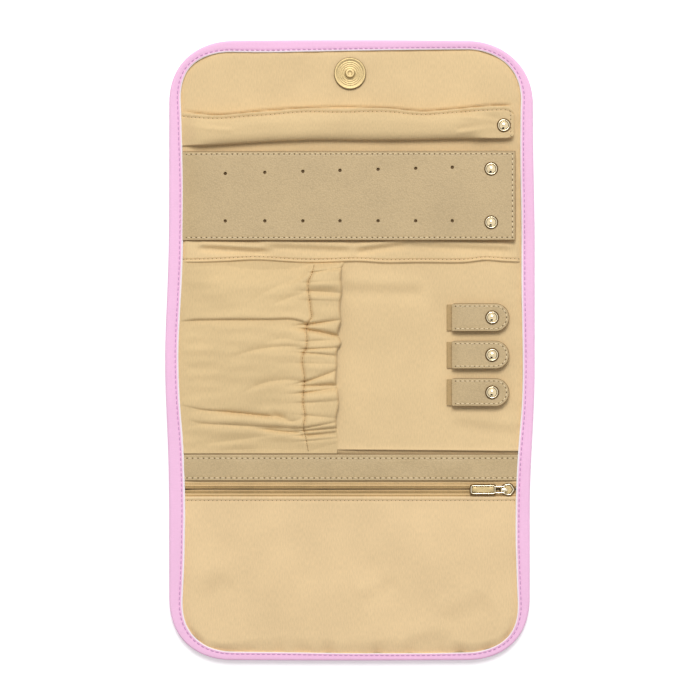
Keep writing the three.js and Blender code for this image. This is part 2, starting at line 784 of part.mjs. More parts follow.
// A closed sheet over a grid of cells, between an underside and a top side
function sheet(columns, rows, place, thickness) {
  const points = [];
  const triangles = [];
  const stride = rows + 1;
  const level = (columns + 1) * stride;
  for (let side = 0; side < 2; side += 1) {
    for (let i = 0; i <= columns; i += 1) {
      for (let j = 0; j <= rows; j += 1) {
        const [x, y, z] = place(i / columns, j / rows);
        points.push(x, y, z + side * thickness);
      }
    }
  }
  for (let i = 0; i < columns; i += 1) {
    for (let j = 0; j < rows; j += 1) {
      const a = i * stride + j;
      const b = a + stride;
      triangles.push(a, a + 1, b, b, a + 1, b + 1);
      triangles.push(level + a, level + b, level + a + 1, level + b, level + b + 1, level + a + 1);
    }
  }
  const wall = (near, far) => {
    triangles.push(near, far, level + near, far, level + far, level + near);
  };
  for (let i = 0; i < columns; i += 1) {
    wall(i * stride, (i + 1) * stride);
    wall((i + 1) * stride + rows, i * stride + rows);
  }
  for (let j = 0; j < rows; j += 1) {
    wall(j + 1, j);
    wall(columns * stride + j, columns * stride + j + 1);
  }
  const geometry = new THREE.BufferGeometry();
  geometry.setAttribute('position', new THREE.Float32BufferAttribute(points, 3));
  geometry.setIndex(triangles);
  geometry.computeVertexNormals();
  return geometry;
}

function pocketPoint(u, v) {
  const x = u * pocket_width;
  const y = v * pocket_height;
  return [pocket_left + x, pocket_low + y, z_lining + pocketHeight(x, y)];
}

// The elastic runs along the middle of the casing, just under the cloth
function elasticPoint(u, v) {
  const x = pocket_width - (casing_width + elastic_width) / 2 + u * elastic_width;
  const y = elastic_end_margin + v * (pocket_height - 2 * elastic_end_margin);
  const [column, row] = [x / pocket_width, y / pocket_height];
  const [x_here, y_here, z_cloth] = pocketPoint(column, row);
  return [x_here, y_here, z_cloth - 2 * cloth_gap - elastic_thickness];
}

const pocket_columns = 20;
const pocket_rows = 28;
const elastic_columns = 3;
piece('gathered_pocket', sheet(pocket_columns, pocket_rows, pocketPoint, pocket_shell), beige_cloth);
piece('pocket_elastic', sheet(elastic_columns, pocket_rows, elasticPoint, elastic_thickness), cream_elastic);

// Lower panel: cover, thin pad and pocket back, with the magnet's mate let into the cover
const y_mate = y_lower_fold - mate_from_lower_fold;
const mate_room = magnet_diameter / 2 + cloth_gap;
const mate_pocket = disc(mate_room, 0, y_mate, -over_cut, mate_height, magnet_sides);
const mate_slots = prongs(y_mate, shank_gap, 0, z_cover + over_cut);
const mate_plate_hole = disc(
  backplate_room, 0, y_mate, z_cover - over_cut, z_pocket_pad + over_cut, magnet_sides,
);
piece('lower_cover', cut(cover(panels.lower), mate_pocket, ...mate_slots), pink_cloth);
piece('lower_pad', cut(layer(panels.lower, z_cover, z_pocket_pad), mate_plate_hole), white_foam);
piece('lower_lining', layer(panels.lower, z_pocket_pad, z_pocket_back), beige_cloth);
piece('lower_binding', endBinding(panels.lower), pink_cloth);

const mate_ring = turned([
  [mate_hole_diameter / 2, 0],
  [magnet_diameter / 2 - magnet_rim, 0],
  [magnet_diameter / 2, magnet_rim],
  [magnet_diameter / 2, mate_height],
  [mate_hole_diameter / 2, mate_height],
  [mate_hole_diameter / 2, 0],
], 0, y_mate, magnet_sides);
const mate_prongs = prongs(y_mate, 0, mate_height - magnet_rim / 2, z_cover + backplate_thickness);
piece('cover_magnet_disc', join(mate_ring, ...mate_prongs), pale_gold);
piece('cover_magnet_backplate', backplate(y_mate, z_cover), plated_steel);

// Zip: two tapes with their coils on either side of the slit, under a leather band and the pocket front
const y_zip = y_lower_fold - zip_from_lower_fold;
const tape_reach = half_width - tuck;
const band_reach = lining_half_width - cloth_gap;
const y_band_top = y_lower_fold - band_from_lower_fold;
const y_front_top = y_zip - front_below_zip;
const z_coil = z_zip_tape + zip_tape_thickness / 2 - coil_height / 2;

function zipStrip(side, near, far, z_low, z_high) {
  const [y_a, y_b] = [y_zip + side * near, y_zip + side * far];
  return box(-tape_reach, tape_reach, Math.min(y_a, y_b), Math.max(y_a, y_b), z_low, z_high);
}

for (const [name, side] of [['upper', 1], ['lower', -1]]) {
  const coil_edge = zip_slit / 2 + coil_width;
  const coil = zipStrip(side, zip_slit / 2, coil_edge, z_coil, z_coil + coil_height);
  const tape = zipStrip(side, coil_edge, coil_edge + zip_tape_width, z_zip_tape, z_zip_front);
  piece(`zip_coil_${name}`, coil, brown_zip);
  piece(`zip_tape_${name}`, tape, brown_zip);
}
const y_band_low = y_band_top - band_height;
const z_band = z_zip_front + band_leather;
piece(
  'leather_band',
  box(-band_reach, band_reach, y_band_low, y_band_top, z_zip_front, z_band),
  tan_leather,
);
const front_outline = roundedOutline(
  -tape_reach, tape_reach, y_bottom + tuck, y_front_top, corner_radius - tuck, 0,
);
piece('zip_pocket_front', plate(front_outline, z_zip_front, z_zip_front + pocket_cloth), beige_cloth);

// Zip slider: two plates round the coils, joined by a thin wedge in the slit, with a bail for the pull
const slider_right = lining_right - slider_right_margin;
const slider_left = slider_right - slider_length;
const z_slider_low = z_coil - slider_gap - slider_plate;
const z_slider_high = z_coil + coil_height + slider_gap;
const z_slider_top = z_slider_high + slider_plate;

function sliderPlate(z_low, z_high) {
  const outline = new THREE.Shape();
  const shoulder = slider_left + slider_tail_length;
  const nose = slider_right - slider_nose_length;
  outline.moveTo(slider_left, y_zip - slider_tail_width / 2);
  outline.lineTo(shoulder, y_zip - slider_width / 2);
  outline.lineTo(nose, y_zip - slider_width / 2);
  outline.lineTo(slider_right, y_zip - slider_tail_width / 2);
  outline.lineTo(slider_right, y_zip + slider_tail_width / 2);
  outline.lineTo(nose, y_zip + slider_width / 2);
  outline.lineTo(shoulder, y_zip + slider_width / 2);
  outline.lineTo(slider_left, y_zip + slider_tail_width / 2);
  return plate(outline, z_low, z_high);
}

const bail_left = slider_left + bail_from_tail;
const bail_right = bail_left + bail_length;
const z_bail = z_slider_top + bail_window;
const slider_wedge = box(
  slider_right - wedge_from_nose - wedge_length, slider_right - wedge_from_nose,
  y_zip - wedge_thickness / 2, y_zip + wedge_thickness / 2,
  z_slider_low + slider_plate / 2, z_slider_top - slider_plate / 2,
);
const bail_block = box(
  bail_left, bail_right, y_zip - bail_width / 2, y_zip + bail_width / 2,
  z_slider_top - bail_root, z_bail + bail_bar,
);
const bail_hole = box(
  bail_left + bail_bar, bail_right - bail_bar, y_zip - bail_width, y_zip + bail_width,
  z_slider_top, z_bail,
);
piece(
  'zip_slider_body',
  cut(
    join(
      sliderPlate(z_slider_low, z_slider_low + slider_plate),
      sliderPlate(z_slider_high, z_slider_top),
      slider_wedge,
      bail_block,
    ),
    bail_hole,
  ),
  pale_gold,
);

// Zip pull: a plate with two arms whose cross bar turns under the bail
const x_pivot = (bail_left + bail_right) / 2;
const z_pivot = z_slider_top + bail_window / 2;
const pull_right = x_pivot - pull_arm_length;
const pull_low = z_pivot - pull_thickness / 2;
const pull_high = z_pivot + pull_thickness / 2;
const arm_inner = bail_width / 2 + pull_side_gap;
const arm_middle = arm_inner + pull_arm_width / 2;
const bar_half = pull_bar_thickness / 2;
const pull_plate_outline = roundedOutline(
  pull_right - pull_length, pull_right, y_zip - pull_width / 2, y_zip + pull_width / 2,
  pull_corner_radius, pull_corner_radius,
);
const pull_arms = [-1, 1].map((side) => {
  const [y_a, y_b] = [y_zip + side * arm_inner, y_zip + side * (arm_inner + pull_arm_width)];
  return box(
    pull_right - pull_arm_root, x_pivot + bar_half, Math.min(y_a, y_b), Math.max(y_a, y_b),
    z_pivot - bar_half, z_pivot + bar_half,
  );
});
const pull_bar = box(
  x_pivot - bar_half, x_pivot + bar_half, y_zip - arm_middle, y_zip + arm_middle,
  z_pivot - bar_half, z_pivot + bar_half,
);
piece('zip_pull', join(plate(pull_plate_outline, pull_low, pull_high), ...pull_arms, pull_bar), pale_gold);

export default roll;
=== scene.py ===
"""Looks of the jewelry roll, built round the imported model. Metres, +Z up, flap towards +Y."""

import bmesh
import bpy
import numpy as np
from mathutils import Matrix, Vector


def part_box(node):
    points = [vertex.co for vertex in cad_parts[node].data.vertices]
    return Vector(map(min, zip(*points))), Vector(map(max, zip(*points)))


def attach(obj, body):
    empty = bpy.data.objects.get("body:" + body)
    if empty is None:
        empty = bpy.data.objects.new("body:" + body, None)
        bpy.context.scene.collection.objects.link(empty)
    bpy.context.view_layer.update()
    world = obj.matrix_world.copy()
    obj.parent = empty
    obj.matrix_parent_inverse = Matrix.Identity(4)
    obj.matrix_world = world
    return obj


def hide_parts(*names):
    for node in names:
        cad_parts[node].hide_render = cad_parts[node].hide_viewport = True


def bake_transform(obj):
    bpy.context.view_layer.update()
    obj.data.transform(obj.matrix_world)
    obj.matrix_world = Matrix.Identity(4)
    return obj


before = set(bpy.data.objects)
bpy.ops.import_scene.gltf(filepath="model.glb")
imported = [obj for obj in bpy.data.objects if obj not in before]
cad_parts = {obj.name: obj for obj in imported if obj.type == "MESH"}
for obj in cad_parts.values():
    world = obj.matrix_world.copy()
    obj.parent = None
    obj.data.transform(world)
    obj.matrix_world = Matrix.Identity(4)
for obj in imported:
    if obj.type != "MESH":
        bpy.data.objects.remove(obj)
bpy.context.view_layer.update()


# Outer cover
# One length of pink cotton under the whole roll, seen only from outside.
# It is bagged out over the wadding, and its edge is tucked into the binding.

roll_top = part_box("flap_binding")[1].y
roll_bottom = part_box("lower_binding")[0].y
flap_fold = (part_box("flap_cover")[0].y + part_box("upper_cover")[1].y) / 2
upper_fold = (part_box("upper_cover")[0].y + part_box("middle_cover")[1].y) / 2
lower_fold = (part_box("middle_cover")[0].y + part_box("lower_cover")[1].y) / 2
upper_reach = 0.011
lower_reach = 0.0045
flap_reach = 0.007
upper_split = 0.097
middle_split = -0.002
corner_radius = 0.037
# Each length of the roll: the body that stays, the body that turns, their fold, half its bend, its way.
lengths = {
    "top": ("upper", "flap", flap_fold, flap_reach, 1),
    "middle": ("middle", "upper", upper_fold, upper_reach, 1),
    "bottom": ("middle", "lower", lower_fold, lower_reach, -1),
}


def smooth(value):
    """A level step from 0 to 1: three times t squared less twice t cubed, with t held from 0 to 1."""
    t = np.clip(value, 0, 1)
    return t * t * (3 - 2 * t)


def bell(off, width):
    """A bell curve: e to the power of minus the square of an offset in widths."""
    return np.exp(-((off / width) ** 2))


def side_lines(y):
    """Left and right edge at a height y: the left one bows out by a bell curve at the middle, and
    the right one steps in softly along the lower panel and a little along the flap."""
    left = -0.1018 - 0.0023 * bell(y + 0.006, 0.045)
    right = 0.1012 + 0.0028 * smooth((y + 0.09) / 0.08) - 0.001 * smooth((y - 0.06) / 0.07)
    return left, right


def evenly(line, count):
    """The points at count equal steps of length along a line."""
    along = np.concatenate([[0], np.cumsum(np.linalg.norm(np.diff(line, axis=0), axis=1))])
    at = np.linspace(0, along[-1], count)
    return np.stack([np.interp(at, along, line[:, k]) for k in range(line.shape[1])], axis=1)


def round_corner(x, y, quarter, squareness):
    """A quarter superellipse about (x, y), its sine and cosine raised to two over the squareness,
    turned by a number of quarter turns."""
    t = np.linspace(0, np.pi / 2, 60)
    bow = np.stack([np.cos(t), np.sin(t)], axis=1).clip(0, 1) ** (2 / squareness) * corner_radius
    c, s = np.round(np.cos(quarter * np.pi / 2)), np.round(np.sin(quarter * np.pi / 2))
    return bow @ np.array([[c, s], [-s, c]]) + (x, y)


def roll_outline(count):
    """The roll's edge as one loop, counterclockwise from the lower right: both side lines and both
    ends, joined by rounded corners, with the ends bowed by a parabola across."""
    y = np.linspace(roll_bottom + corner_radius, roll_top - corner_radius, 200)
    left, right = side_lines(y)
    in_left, in_right = left + corner_radius, right - corner_radius
    top_x = np.linspace(in_right[-1], in_left[-1], 60)
    bottom_x = np.linspace(in_left[0], in_right[0], 60)
    loop = np.concatenate([
        np.stack([right, y], axis=1),
        round_corner(in_right[-1], y[-1], 0, 2.05),
        np.stack([top_x, np.full(60, roll_top)], axis=1)[1:-1],
        round_corner(in_left[-1], y[-1], 1, 2.2),
        np.stack([left, y], axis=1)[::-1],
        round_corner(in_left[0], y[0], 2, 2.3),
        np.stack([bottom_x, np.full(60, roll_bottom)], axis=1)[1:-1],
        round_corner(in_right[0], y[0], 3, 2.3),
        [[right[0], y[0]]],
    ])
    bow = (loop[:, 0] / 0.066) ** 2
    loop[:, 1] -= (0.0010 + 0.0004 * bow) * np.clip((loop[:, 1] - y[-1]) / corner_radius, 0, 1) ** 2
    loop[:, 1] += (0.0006 + 0.0002 * bow) * np.clip((y[0] - loop[:, 1]) / corner_radius, 0, 1) ** 2
    return evenly(loop, count + 1)[:-1]


edge_line = roll_outline(2400)
edge_along = np.roll(edge_line, -1, axis=0) - np.roll(edge_line, 1, axis=0)
edge_along /= np.linalg.norm(edge_along, axis=1)[:, None]
edge_inward = np.stack([-edge_along[:, 1], edge_along[:, 0]], axis=1)


def limits(y, inset):
    """Where a line across the roll at y meets the edge drawn in by an inset, at left and right."""
    line = edge_line + edge_inward * inset
    found = []
    for side in (-1, 1):
        half = line[line[:, 0] * side > 0]
        half = half[np.argsort(half[:, 1])]
        found.append(np.interp(y, half[:, 1], half[:, 0]))
    return found


def from_sides(x, y, inset):
    """How far a place lies in from the nearer side of the edge drawn in by an inset."""
    left, right = limits(y, inset)
    return np.minimum(x - left, right - x)


def cloth_grid(y_lines, columns, inset):
    """Points across the roll on each line y, evenly spaced between the edges drawn in by an inset."""
    left, right = limits(y_lines, inset)
    x = left[:, None] + (right - left)[:, None] * np.linspace(0, 1, columns)
    return x, np.repeat(y_lines[:, None], columns, axis=1)


def undulation(x, y, wavelength, seed):
    """Soft unevenness about zero: a sum of plane sine waves with seeded directions and phases."""
    waves = 8
    pick = np.random.default_rng(seed)
    total = np.zeros(np.broadcast(x, y).shape)
    for _ in range(waves):
        turn, phase = pick.uniform(0, 2 * np.pi, 2)
        step = 2 * np.pi / (wavelength * pick.uniform(0.7, 1.5))
        total += np.sin(step * (x * np.cos(turn) + y * np.sin(turn)) + phase)
    return total / np.sqrt(waves)


def grid_quads(rows, columns, wrap=False):
    """The quads between neighbouring rows and columns of points numbered row by row; wrap closes
    each row into a ring."""
    index = np.arange(rows * columns).reshape(rows, columns)
    if wrap:
        index = np.concatenate([index, index[:, :1]], axis=1)
    corners = [index[:-1, :-1], index[:-1, 1:], index[1:, 1:], index[1:, :-1]]
    return np.stack(corners, axis=-1).reshape(-1, 4)


def skin(points, layout, material, wrap=False):
    """One part of a piece: a grid of points, the same grid laid flat in metres, and its material."""
    rows, columns = points.shape[:2]
    return points.reshape(-1, 3), grid_quads(rows, columns, wrap), layout.reshape(-1, 2), material


def make(name, *parts):
    """A mesh object from parts. Points that meet are merged, so that seams and poles close."""
    materials = list(dict.fromkeys(part[3] for part in parts))
    starts = np.cumsum([0] + [len(part[0]) for part in parts])
    points = np.concatenate([part[0] for part in parts])
    quads = np.concatenate([part[1] + start for part, start in zip(parts, starts)])
    layout = np.concatenate([part[2] for part in parts])
    slots = np.concatenate([np.full(len(part[1]), materials.index(part[3])) for part in parts])
    mesh = bpy.data.meshes.new(name)
    mesh.vertices.add(len(points))
    mesh.vertices.foreach_set("co", points.astype(np.float32).ravel())
    mesh.loops.add(quads.size)
    mesh.loops.foreach_set("vertex_index", quads.astype(np.int32).ravel())
    mesh.polygons.add(len(quads))
    mesh.polygons.foreach_set("loop_start", np.arange(0, quads.size, 4, dtype=np.int32))
    mesh.polygons.foreach_set("material_index", slots.astype(np.int32))
    mesh.polygons.foreach_set("use_smooth", np.ones(len(quads), bool))
    mesh.uv_layers.new(name="UVMap").data.foreach_set(
        "uv", layout[quads.ravel()].astype(np.float32).ravel())
    mesh.update(calc_edges=True)
    work = bmesh.new()
    work.from_mesh(mesh)
    bmesh.ops.remove_doubles(work, verts=work.verts, dist=1e-6)
    work.to_mesh(mesh)
    work.free()
    mesh.validate()
    mesh.set_sharp_from_angle(angle=np.radians(50))
    for material in materials:
        mesh.materials.append(material)
    made = bpy.data.objects.new(name, mesh)
    bpy.context.scene.collection.objects.link(made)
    return made


def slab(top, low, layout, material):
    """One closed part between two grids of points: the upper face, the lower face turned over, and
    walls that join their borders."""
    rows, columns = top.shape[:2]
    level = rows * columns
    index = np.arange(level).reshape(rows, columns)
    ring = np.concatenate([index[0, :-1], index[:-1, -1], index[-1, :0:-1], index[:0:-1, 0]])
    after = np.roll(ring, -1)
    walls = np.stack([ring + level, after + level, after, ring], axis=1)
    face = grid_quads(rows, columns)
    quads = np.concatenate([face, face[:, ::-1] + level, walls])
    points = np.concatenate([top.reshape(-1, 3), low.reshape(-1, 3)])
    return points, quads, np.concatenate([layout.reshape(-1, 2)] * 2), material


def layer(x, y, upper, lower, material):
    """A slab over the places x and y, between an upper and a lower height."""
    top = np.dstack(np.broadcast_arrays(x, y, upper))
    low = np.dstack(np.broadcast_arrays(x, y, lower))
    return slab(top, low, top[..., :2], material)


def noise_of(tree, layout, stretch, detail=3.0):
    """A noise texture over the flat layout, stretched along its two directions."""
    scale = tree.nodes.new("ShaderNodeMapping")
    scale.inputs["Scale"].default_value = (*stretch, 1)
    tree.links.new(layout, scale.inputs["Vector"])
    noise = tree.nodes.new("ShaderNodeTexNoise")
    noise.inputs["Scale"].default_value = 1
    noise.inputs["Detail"].default_value = detail
    tree.links.new(scale.outputs["Vector"], noise.inputs["Vector"])
    return noise.outputs["Fac"]


def calculate(tree, operation, first, second):
    """One arithmetic step between two outputs, or an output and a number."""
    step = tree.nodes.new("ShaderNodeMath")
    step.operation = operation
    for socket, value in zip(step.inputs, (first, second)):
        if isinstance(value, (int, float)):
            socket.default_value = value
        else:
            tree.links.new(value, socket)
    return step.outputs[0]


def tint(tree, factor, low, high, dark, light):
    """A colour between dark and light, as a factor goes from low to high."""
    spread = tree.nodes.new("ShaderNodeMapRange")
    spread.inputs["From Min"].default_value = low
    spread.inputs["From Max"].default_value = high
    tree.links.new(factor, spread.inputs["Value"])
    mix = tree.nodes.new("ShaderNodeMix")
    mix.data_type = "RGBA"
    mix.inputs[6].default_value = (*dark, 1)
    mix.inputs[7].default_value = (*light, 1)
    tree.links.new(spread.outputs["Result"], mix.inputs["Factor"])
    return mix.outputs[2]


def bump(tree, height, depth, shader):
    """Raises the shader's surface by a height from 0 to 1, times a depth in metres."""
    relief = tree.nodes.new("ShaderNodeBump")
    relief.inputs["Strength"].default_value = 1
    relief.inputs["Distance"].default_value = depth
    tree.links.new(height, relief.inputs["Height"])
    tree.links.new(relief.outputs["Normal"], shader.inputs["Normal"])


def new_finish(name):
    """A node material, with its tree and its shader."""
    finish = bpy.data.materials.new(name)
    finish.use_nodes = True
    tree = finish.node_tree
    return finish, tree, tree.nodes["Principled BSDF"]


def flat_layout(tree):
    """Each place on the piece as it lies when the piece is laid flat, in metres."""
    layout = tree.nodes.new("ShaderNodeUVMap")
    layout.uv_map = "UVMap"
    return layout.outputs["UV"]


def woven(name, colour, pitch, depth, roughness=0.8, sheen=0.12, variation=0.06):
    """Woven cloth. Its bump is two crossed sets of sine ridges, one thread apart, and its colour
    drifts with slow clouds and with short slubs along the warp."""
    finish, tree, shader = new_finish(name)
    layout = flat_layout(tree)
    ridges = []
    for direction in ("X", "Y"):
        wave = tree.nodes.new("ShaderNodeTexWave")
        wave.bands_direction = direction
        wave.inputs["Scale"].default_value = np.pi / 10 / pitch
        wave.inputs["Distortion"].default_value = 0.6
        wave.inputs["Detail"].default_value = 1
        tree.links.new(layout, wave.inputs["Vector"])
        ridges.append(wave.outputs["Fac"])
    clouds = noise_of(tree, layout, (28, 28))
    slubs = noise_of(tree, layout, (1700, 380), 2.0)
    mottle = calculate(tree, "ADD", calculate(tree, "MULTIPLY", clouds, 0.5),
                       calculate(tree, "MULTIPLY", slubs, 0.5))
    dark = [c * (1 - variation) for c in colour]
    light = [min(1, c * (1 + 0.6 * variation)) for c in colour]
    tree.links.new(tint(tree, mottle, 0.36, 0.64, dark, light), shader.inputs["Base Color"])
    shader.inputs["Roughness"].default_value = roughness
    shader.inputs["Sheen Weight"].default_value = sheen
    shader.inputs["Specular IOR Level"].default_value = 0.25
    weave = calculate(tree, "ADD", calculate(tree, "MULTIPLY", ridges[0], ridges[1]),
                      calculate(tree, "MULTIPLY", slubs, 0.8))
    bump(tree, weave, depth, shader)
    return finish


pink_cotton = woven("pink_cotton", (0.95, 0.565, 0.80), 0.0004, 0.00006, 0.8, 0.12, 0.03)


def centre_of(node):
    """The middle of a node's box."""
    low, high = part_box(node)
    return (low + high) / 2


mate_at = centre_of("cover_magnet_disc")
mate_dent_radius = 0.0112
cover_thickness = 0.0007
end_inset = 0.0046


def cover_height(x, y):
    """The cover's height over the table: level, lifted softly as it nears the binding's lip, and
    pressed in round the magnet's mate."""
    to_end = np.minimum(roll_top - 0.007 - y, y - roll_bottom - 0.005)
    to_edge = np.minimum(from_sides(x, y, 0.007), to_end)
    mate = 0.0006 * smooth((mate_dent_radius - np.hypot(x - mate_at.x, y - mate_at.y)) / 0.0022)
    wave = 0.00005 * (1 + undulation(x, y, 0.05, 3))
    return 0.00075 * np.exp(-np.clip(to_edge, 0, 1) / 0.004) + wave + mate


def cover_piece(name, y_lines):
    """A length of the cover: its outer face, facing down, and its inner face."""
    x, y = cloth_grid(y_lines, 110, 0.003)
    outer = cover_height(x, y)
    return make(name, layer(x, y, outer + cover_thickness, outer, pink_cotton))


def dress_fold(made, nodes):
    """Bakes a piece of one length into place and hides the solids that it stands for."""
    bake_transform(made)
    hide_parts(*nodes)


def dress_length(made, length, cloth):
    """Dresses one length of a cloth, for that cloth's solids on both sides of the fold."""
    stays, turns = lengths[length][:2]
    dress_fold(made, [f"{stays}_{cloth}", f"{turns}_{cloth}"])


def roll_lines(y_low, y_high, step, *close):
    """The lines of a length of cloth, a step apart, with closer lines round each fold it crosses."""
    lines = [np.linspace(y_low, y_high, int((y_high - y_low) / step) + 1)]
    lines += [np.linspace(at - reach, at + reach, count) for at, reach, count in close]
    lines = np.unique(np.concatenate(lines).round(6))
    return lines[(lines >= y_low - 1e-6) & (lines <= y_high + 1e-6)]


cover_lines = {
    "top": roll_lines(upper_split, roll_top - end_inset, 0.0013),
    "middle": roll_lines(middle_split, upper_split, 0.0013, (upper_fold, upper_reach, 50)),
    "bottom": roll_lines(roll_bottom + end_inset, middle_split, 0.0018,
                         (lower_fold, lower_reach, 40), (mate_at.y, 0.012, 40)),
}
for length, y_lines in cover_lines.items():
    cover = cover_piece(f"cover_{length}", y_lines)
    dress_length(cover, length, "cover")


# Wadding
# White polyester wadding between cover and lining, thin behind the zip pocket.
# It is caught in the binding's seam all round and is not seen.

wadding_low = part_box("middle_pad")[0].z
wadding_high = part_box("middle_pad")[1].z
pocket_wadding_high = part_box("lower_pad")[1].z
wadding_fibre = woven("wadding_fibre", (0.86, 0.85, 0.82), 0.0012, 0.0002, 0.95, 0.3)


def wadding_piece(name, y_lines):
    """A length of wadding: full height down to the lower fold, and thin below it."""
    x, y = cloth_grid(y_lines, 40, 0.0045)
    thin = smooth((lower_fold + 0.004 - y) / 0.008)
    z = wadding_high - 0.0014 - (wadding_high - pocket_wadding_high - 0.0009) * thin
    z = z + 0.00008 * undulation(x, y, 0.03, 5)
    return make(name, layer(x, y, z, wadding_low + 0.0003, wadding_fibre))


wadding_lines = {
    "top": roll_lines(upper_split, roll_top - 0.0064, 0.002),
    "middle": roll_lines(middle_split, upper_split, 0.002, (upper_fold, upper_reach, 24)),
    "bottom": roll_lines(roll_bottom + 0.0058, middle_split, 0.002, (lower_fold, lower_reach, 24)),
}
for length, y_lines in wadding_lines.items():
    wadding = wadding_piece(f"wadding_{length}", y_lines)
    dress_length(wadding, length, "pad")


# Lining
# Beige cotton sateen inside the roll, stretched over the wadding and caught under the binding,
# which puckers it along the edge. The upper length ends in a turned hem stitched at the fold.

lining_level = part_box("middle_lining")[1].z
pocket_back_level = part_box("lower_lining")[1].z


def sateen(name, colour):
    """Cotton sateen: a close, fine weave with little sheen."""
    return woven(name, colour, 0.00034, 0.00006, 0.72, 0.08, 0.09)


beige_sateen = sateen("beige_sateen", (0.785, 0.578, 0.312))
# The width of the binding's face, which covers the lining's edge: bearing from the roll's middle in
# degrees, and millimetres.
binding_width_at = np.array([
    [0, 6.8], [18, 7.5], [45, 7.5], [53, 7.0], [60, 5.0], [68, 4.8], [78, 5.4], [90, 6.1],
    [104, 6.8], [111, 6.4], [120, 4.9], [127, 6.8], [137, 8.1], [156, 8.1], [180, 7.5], [198, 7.9],
    [207, 8.8], [222, 9.2], [230, 8.6], [240, 6.2], [247, 4.9], [258, 4.7], [270, 4.2], [284, 4.1],
    [294, 4.6], [300, 4.6], [306, 7.0], [313, 8.1], [330, 7.7], [343, 6.8],
])
edge_bearing = np.degrees(np.arctan2(edge_line[:, 1], edge_line[:, 0])) % 360
binding_width = np.interp(edge_bearing, *binding_width_at.T, period=360) * 0.001
blur = np.hanning(61)
binding_width = np.convolve(np.pad(binding_width, 30, mode="wrap"), blur / blur.sum(), "valid")
binding_inner = edge_line + edge_inward * binding_width[:, None]
hem_edge = 0.0492
hem_seam = 0.0018
hem_rise = 0.0012
lining_thickness = 0.0004


def edge_distance(x, y):
    """How far a point lies inside the binding's inner edge: its offset from the nearest place on that
    line, taken along the inward direction there, and nothing beyond it."""
    line, inward = binding_inner[::8], edge_inward[::8]
    off_x, off_y = x[..., None] - line[:, 0], y[..., None] - line[:, 1]
    nearest = np.argmin(off_x**2 + off_y**2, axis=-1)[..., None]
    off_x = np.take_along_axis(off_x, nearest, axis=-1)[..., 0]
    off_y = np.take_along_axis(off_y, nearest, axis=-1)[..., 0]
    nearest = nearest[..., 0]
    return np.clip(off_x * inward[nearest, 0] + off_y * inward[nearest, 1], 0, 1)


def crease(x, y, start, end, depth, spread, sharp=False):
    """A fold along a line, a ridge beside a valley, fading out beyond the line's two ends: a soft one
    is the distance off the line times a bell curve of it, and a sharp one a steep step that decays."""
    start, end = np.array(start), np.array(end)
    along = end - start
    length = np.hypot(*along)
    t = ((x - start[0]) * along[0] + (y - start[1]) * along[1]) / length**2
    off = ((x - start[0]) * -along[1] + (y - start[1]) * along[0]) / length / spread
    fade = smooth(t / 0.2 + 0.5) * smooth((1 - t) / 0.2 + 0.5)
    if sharp:
        return depth * fade * np.tanh(4 * off) * np.exp(-0.9 * np.abs(off)) * 1.3
    return depth * fade * off * np.exp(0.5 - off**2) * 1.41


def lining_relief(x, y):
    """The lining's unevenness: drawn down towards the binding, with puckers that run in from the
    sides and the ends and die away, and a slow swell all over."""
    near = edge_distance(x, y)
    to_end = np.minimum(roll_top - y, y - roll_bottom)
    from_side = undulation(0 * x, y, 0.010, 11) * np.exp(-near / 0.005) * smooth(to_end / 0.05)
    from_end = undulation(x, 0 * y, 0.011, 12) * np.exp(-near / 0.005) * smooth(1 - to_end / 0.05)
    swell = undulation(x, y, 0.06, 13)
    return -0.0011 * np.exp(-near / 0.0018) + 0.00022 * (from_side + from_end) + 0.00022 * (swell - 0.9)


def curve_through(marks, at):
    """A smooth curve through points marked in millimetres: between each two, a cubic that keeps the mean
    slope at both."""
    place, value = np.array(marks).T * 0.001
    slope = np.gradient(value, place)
    k = np.clip(np.searchsorted(place, at) - 1, 0, len(place) - 2)
    gap = place[k + 1] - place[k]
    t = np.clip((at - place[k]) / gap, 0, 1)
    lean = gap * (slope[k] * t * (1 - t) ** 2 - slope[k + 1] * t**2 * (1 - t))
    return value[k] + (value[k + 1] - value[k]) * smooth(t) + lean


def hem_line(x):
    """The hem's turned edge: level, pulled up at three places by a bell curve each, and uneven."""
    pulls = 0.0016 * bell(x + 0.052, 0.014) + 0.0005 * bell(x - 0.006, 0.010)
    pulls = pulls + 0.0011 * bell(x - 0.076, 0.008)
    return hem_edge + pulls + 0.0002 * undulation(x, 0, 0.03, 21)


# The bar's upper edge in millimetres: place across the roll, and place up it.
bar_top_marks = [(-98, 134.3), (-73, 131.6), (-50, 133.9), (-29, 135.3), (2, 135.9), (22, 135.2),
                 (41, 133.8), (56, 134.7), (78, 136.8), (93, 137.4)]
bar_press_end = 0.0925


def bar_top_line(x):
    """The upper edge of the ring bar, slack between the places where it is caught, which presses into
    the lining."""
    return curve_through(bar_top_marks, x)


# Each fold of the lining: its two ends, its depth and its spread, and True for a sharp one.
lining_folds = [
    ((-0.084, 0.0583), (-0.045, 0.0560), 0.0014, 0.0024),
    ((-0.050, 0.0592), (0.0, 0.0570), 0.0010, 0.0028),
    ((0.004, 0.0566), (0.030, 0.0602), 0.0013, 0.0026),
    ((0.032, 0.0600), (0.090, 0.0572), 0.0009, 0.0028),
    ((-0.004, 0.0355), (0.040, 0.0345), 0.0007, 0.0050),
    ((0.046, 0.030), (0.050, -0.040), -0.0004, 0.006),
    ((0.060, -0.0400), (0.094, -0.0450), 0.0006, 0.0050),
    ((-0.004, -0.0562), (0.096, -0.0571), 0.0010, 0.0012, True),
]


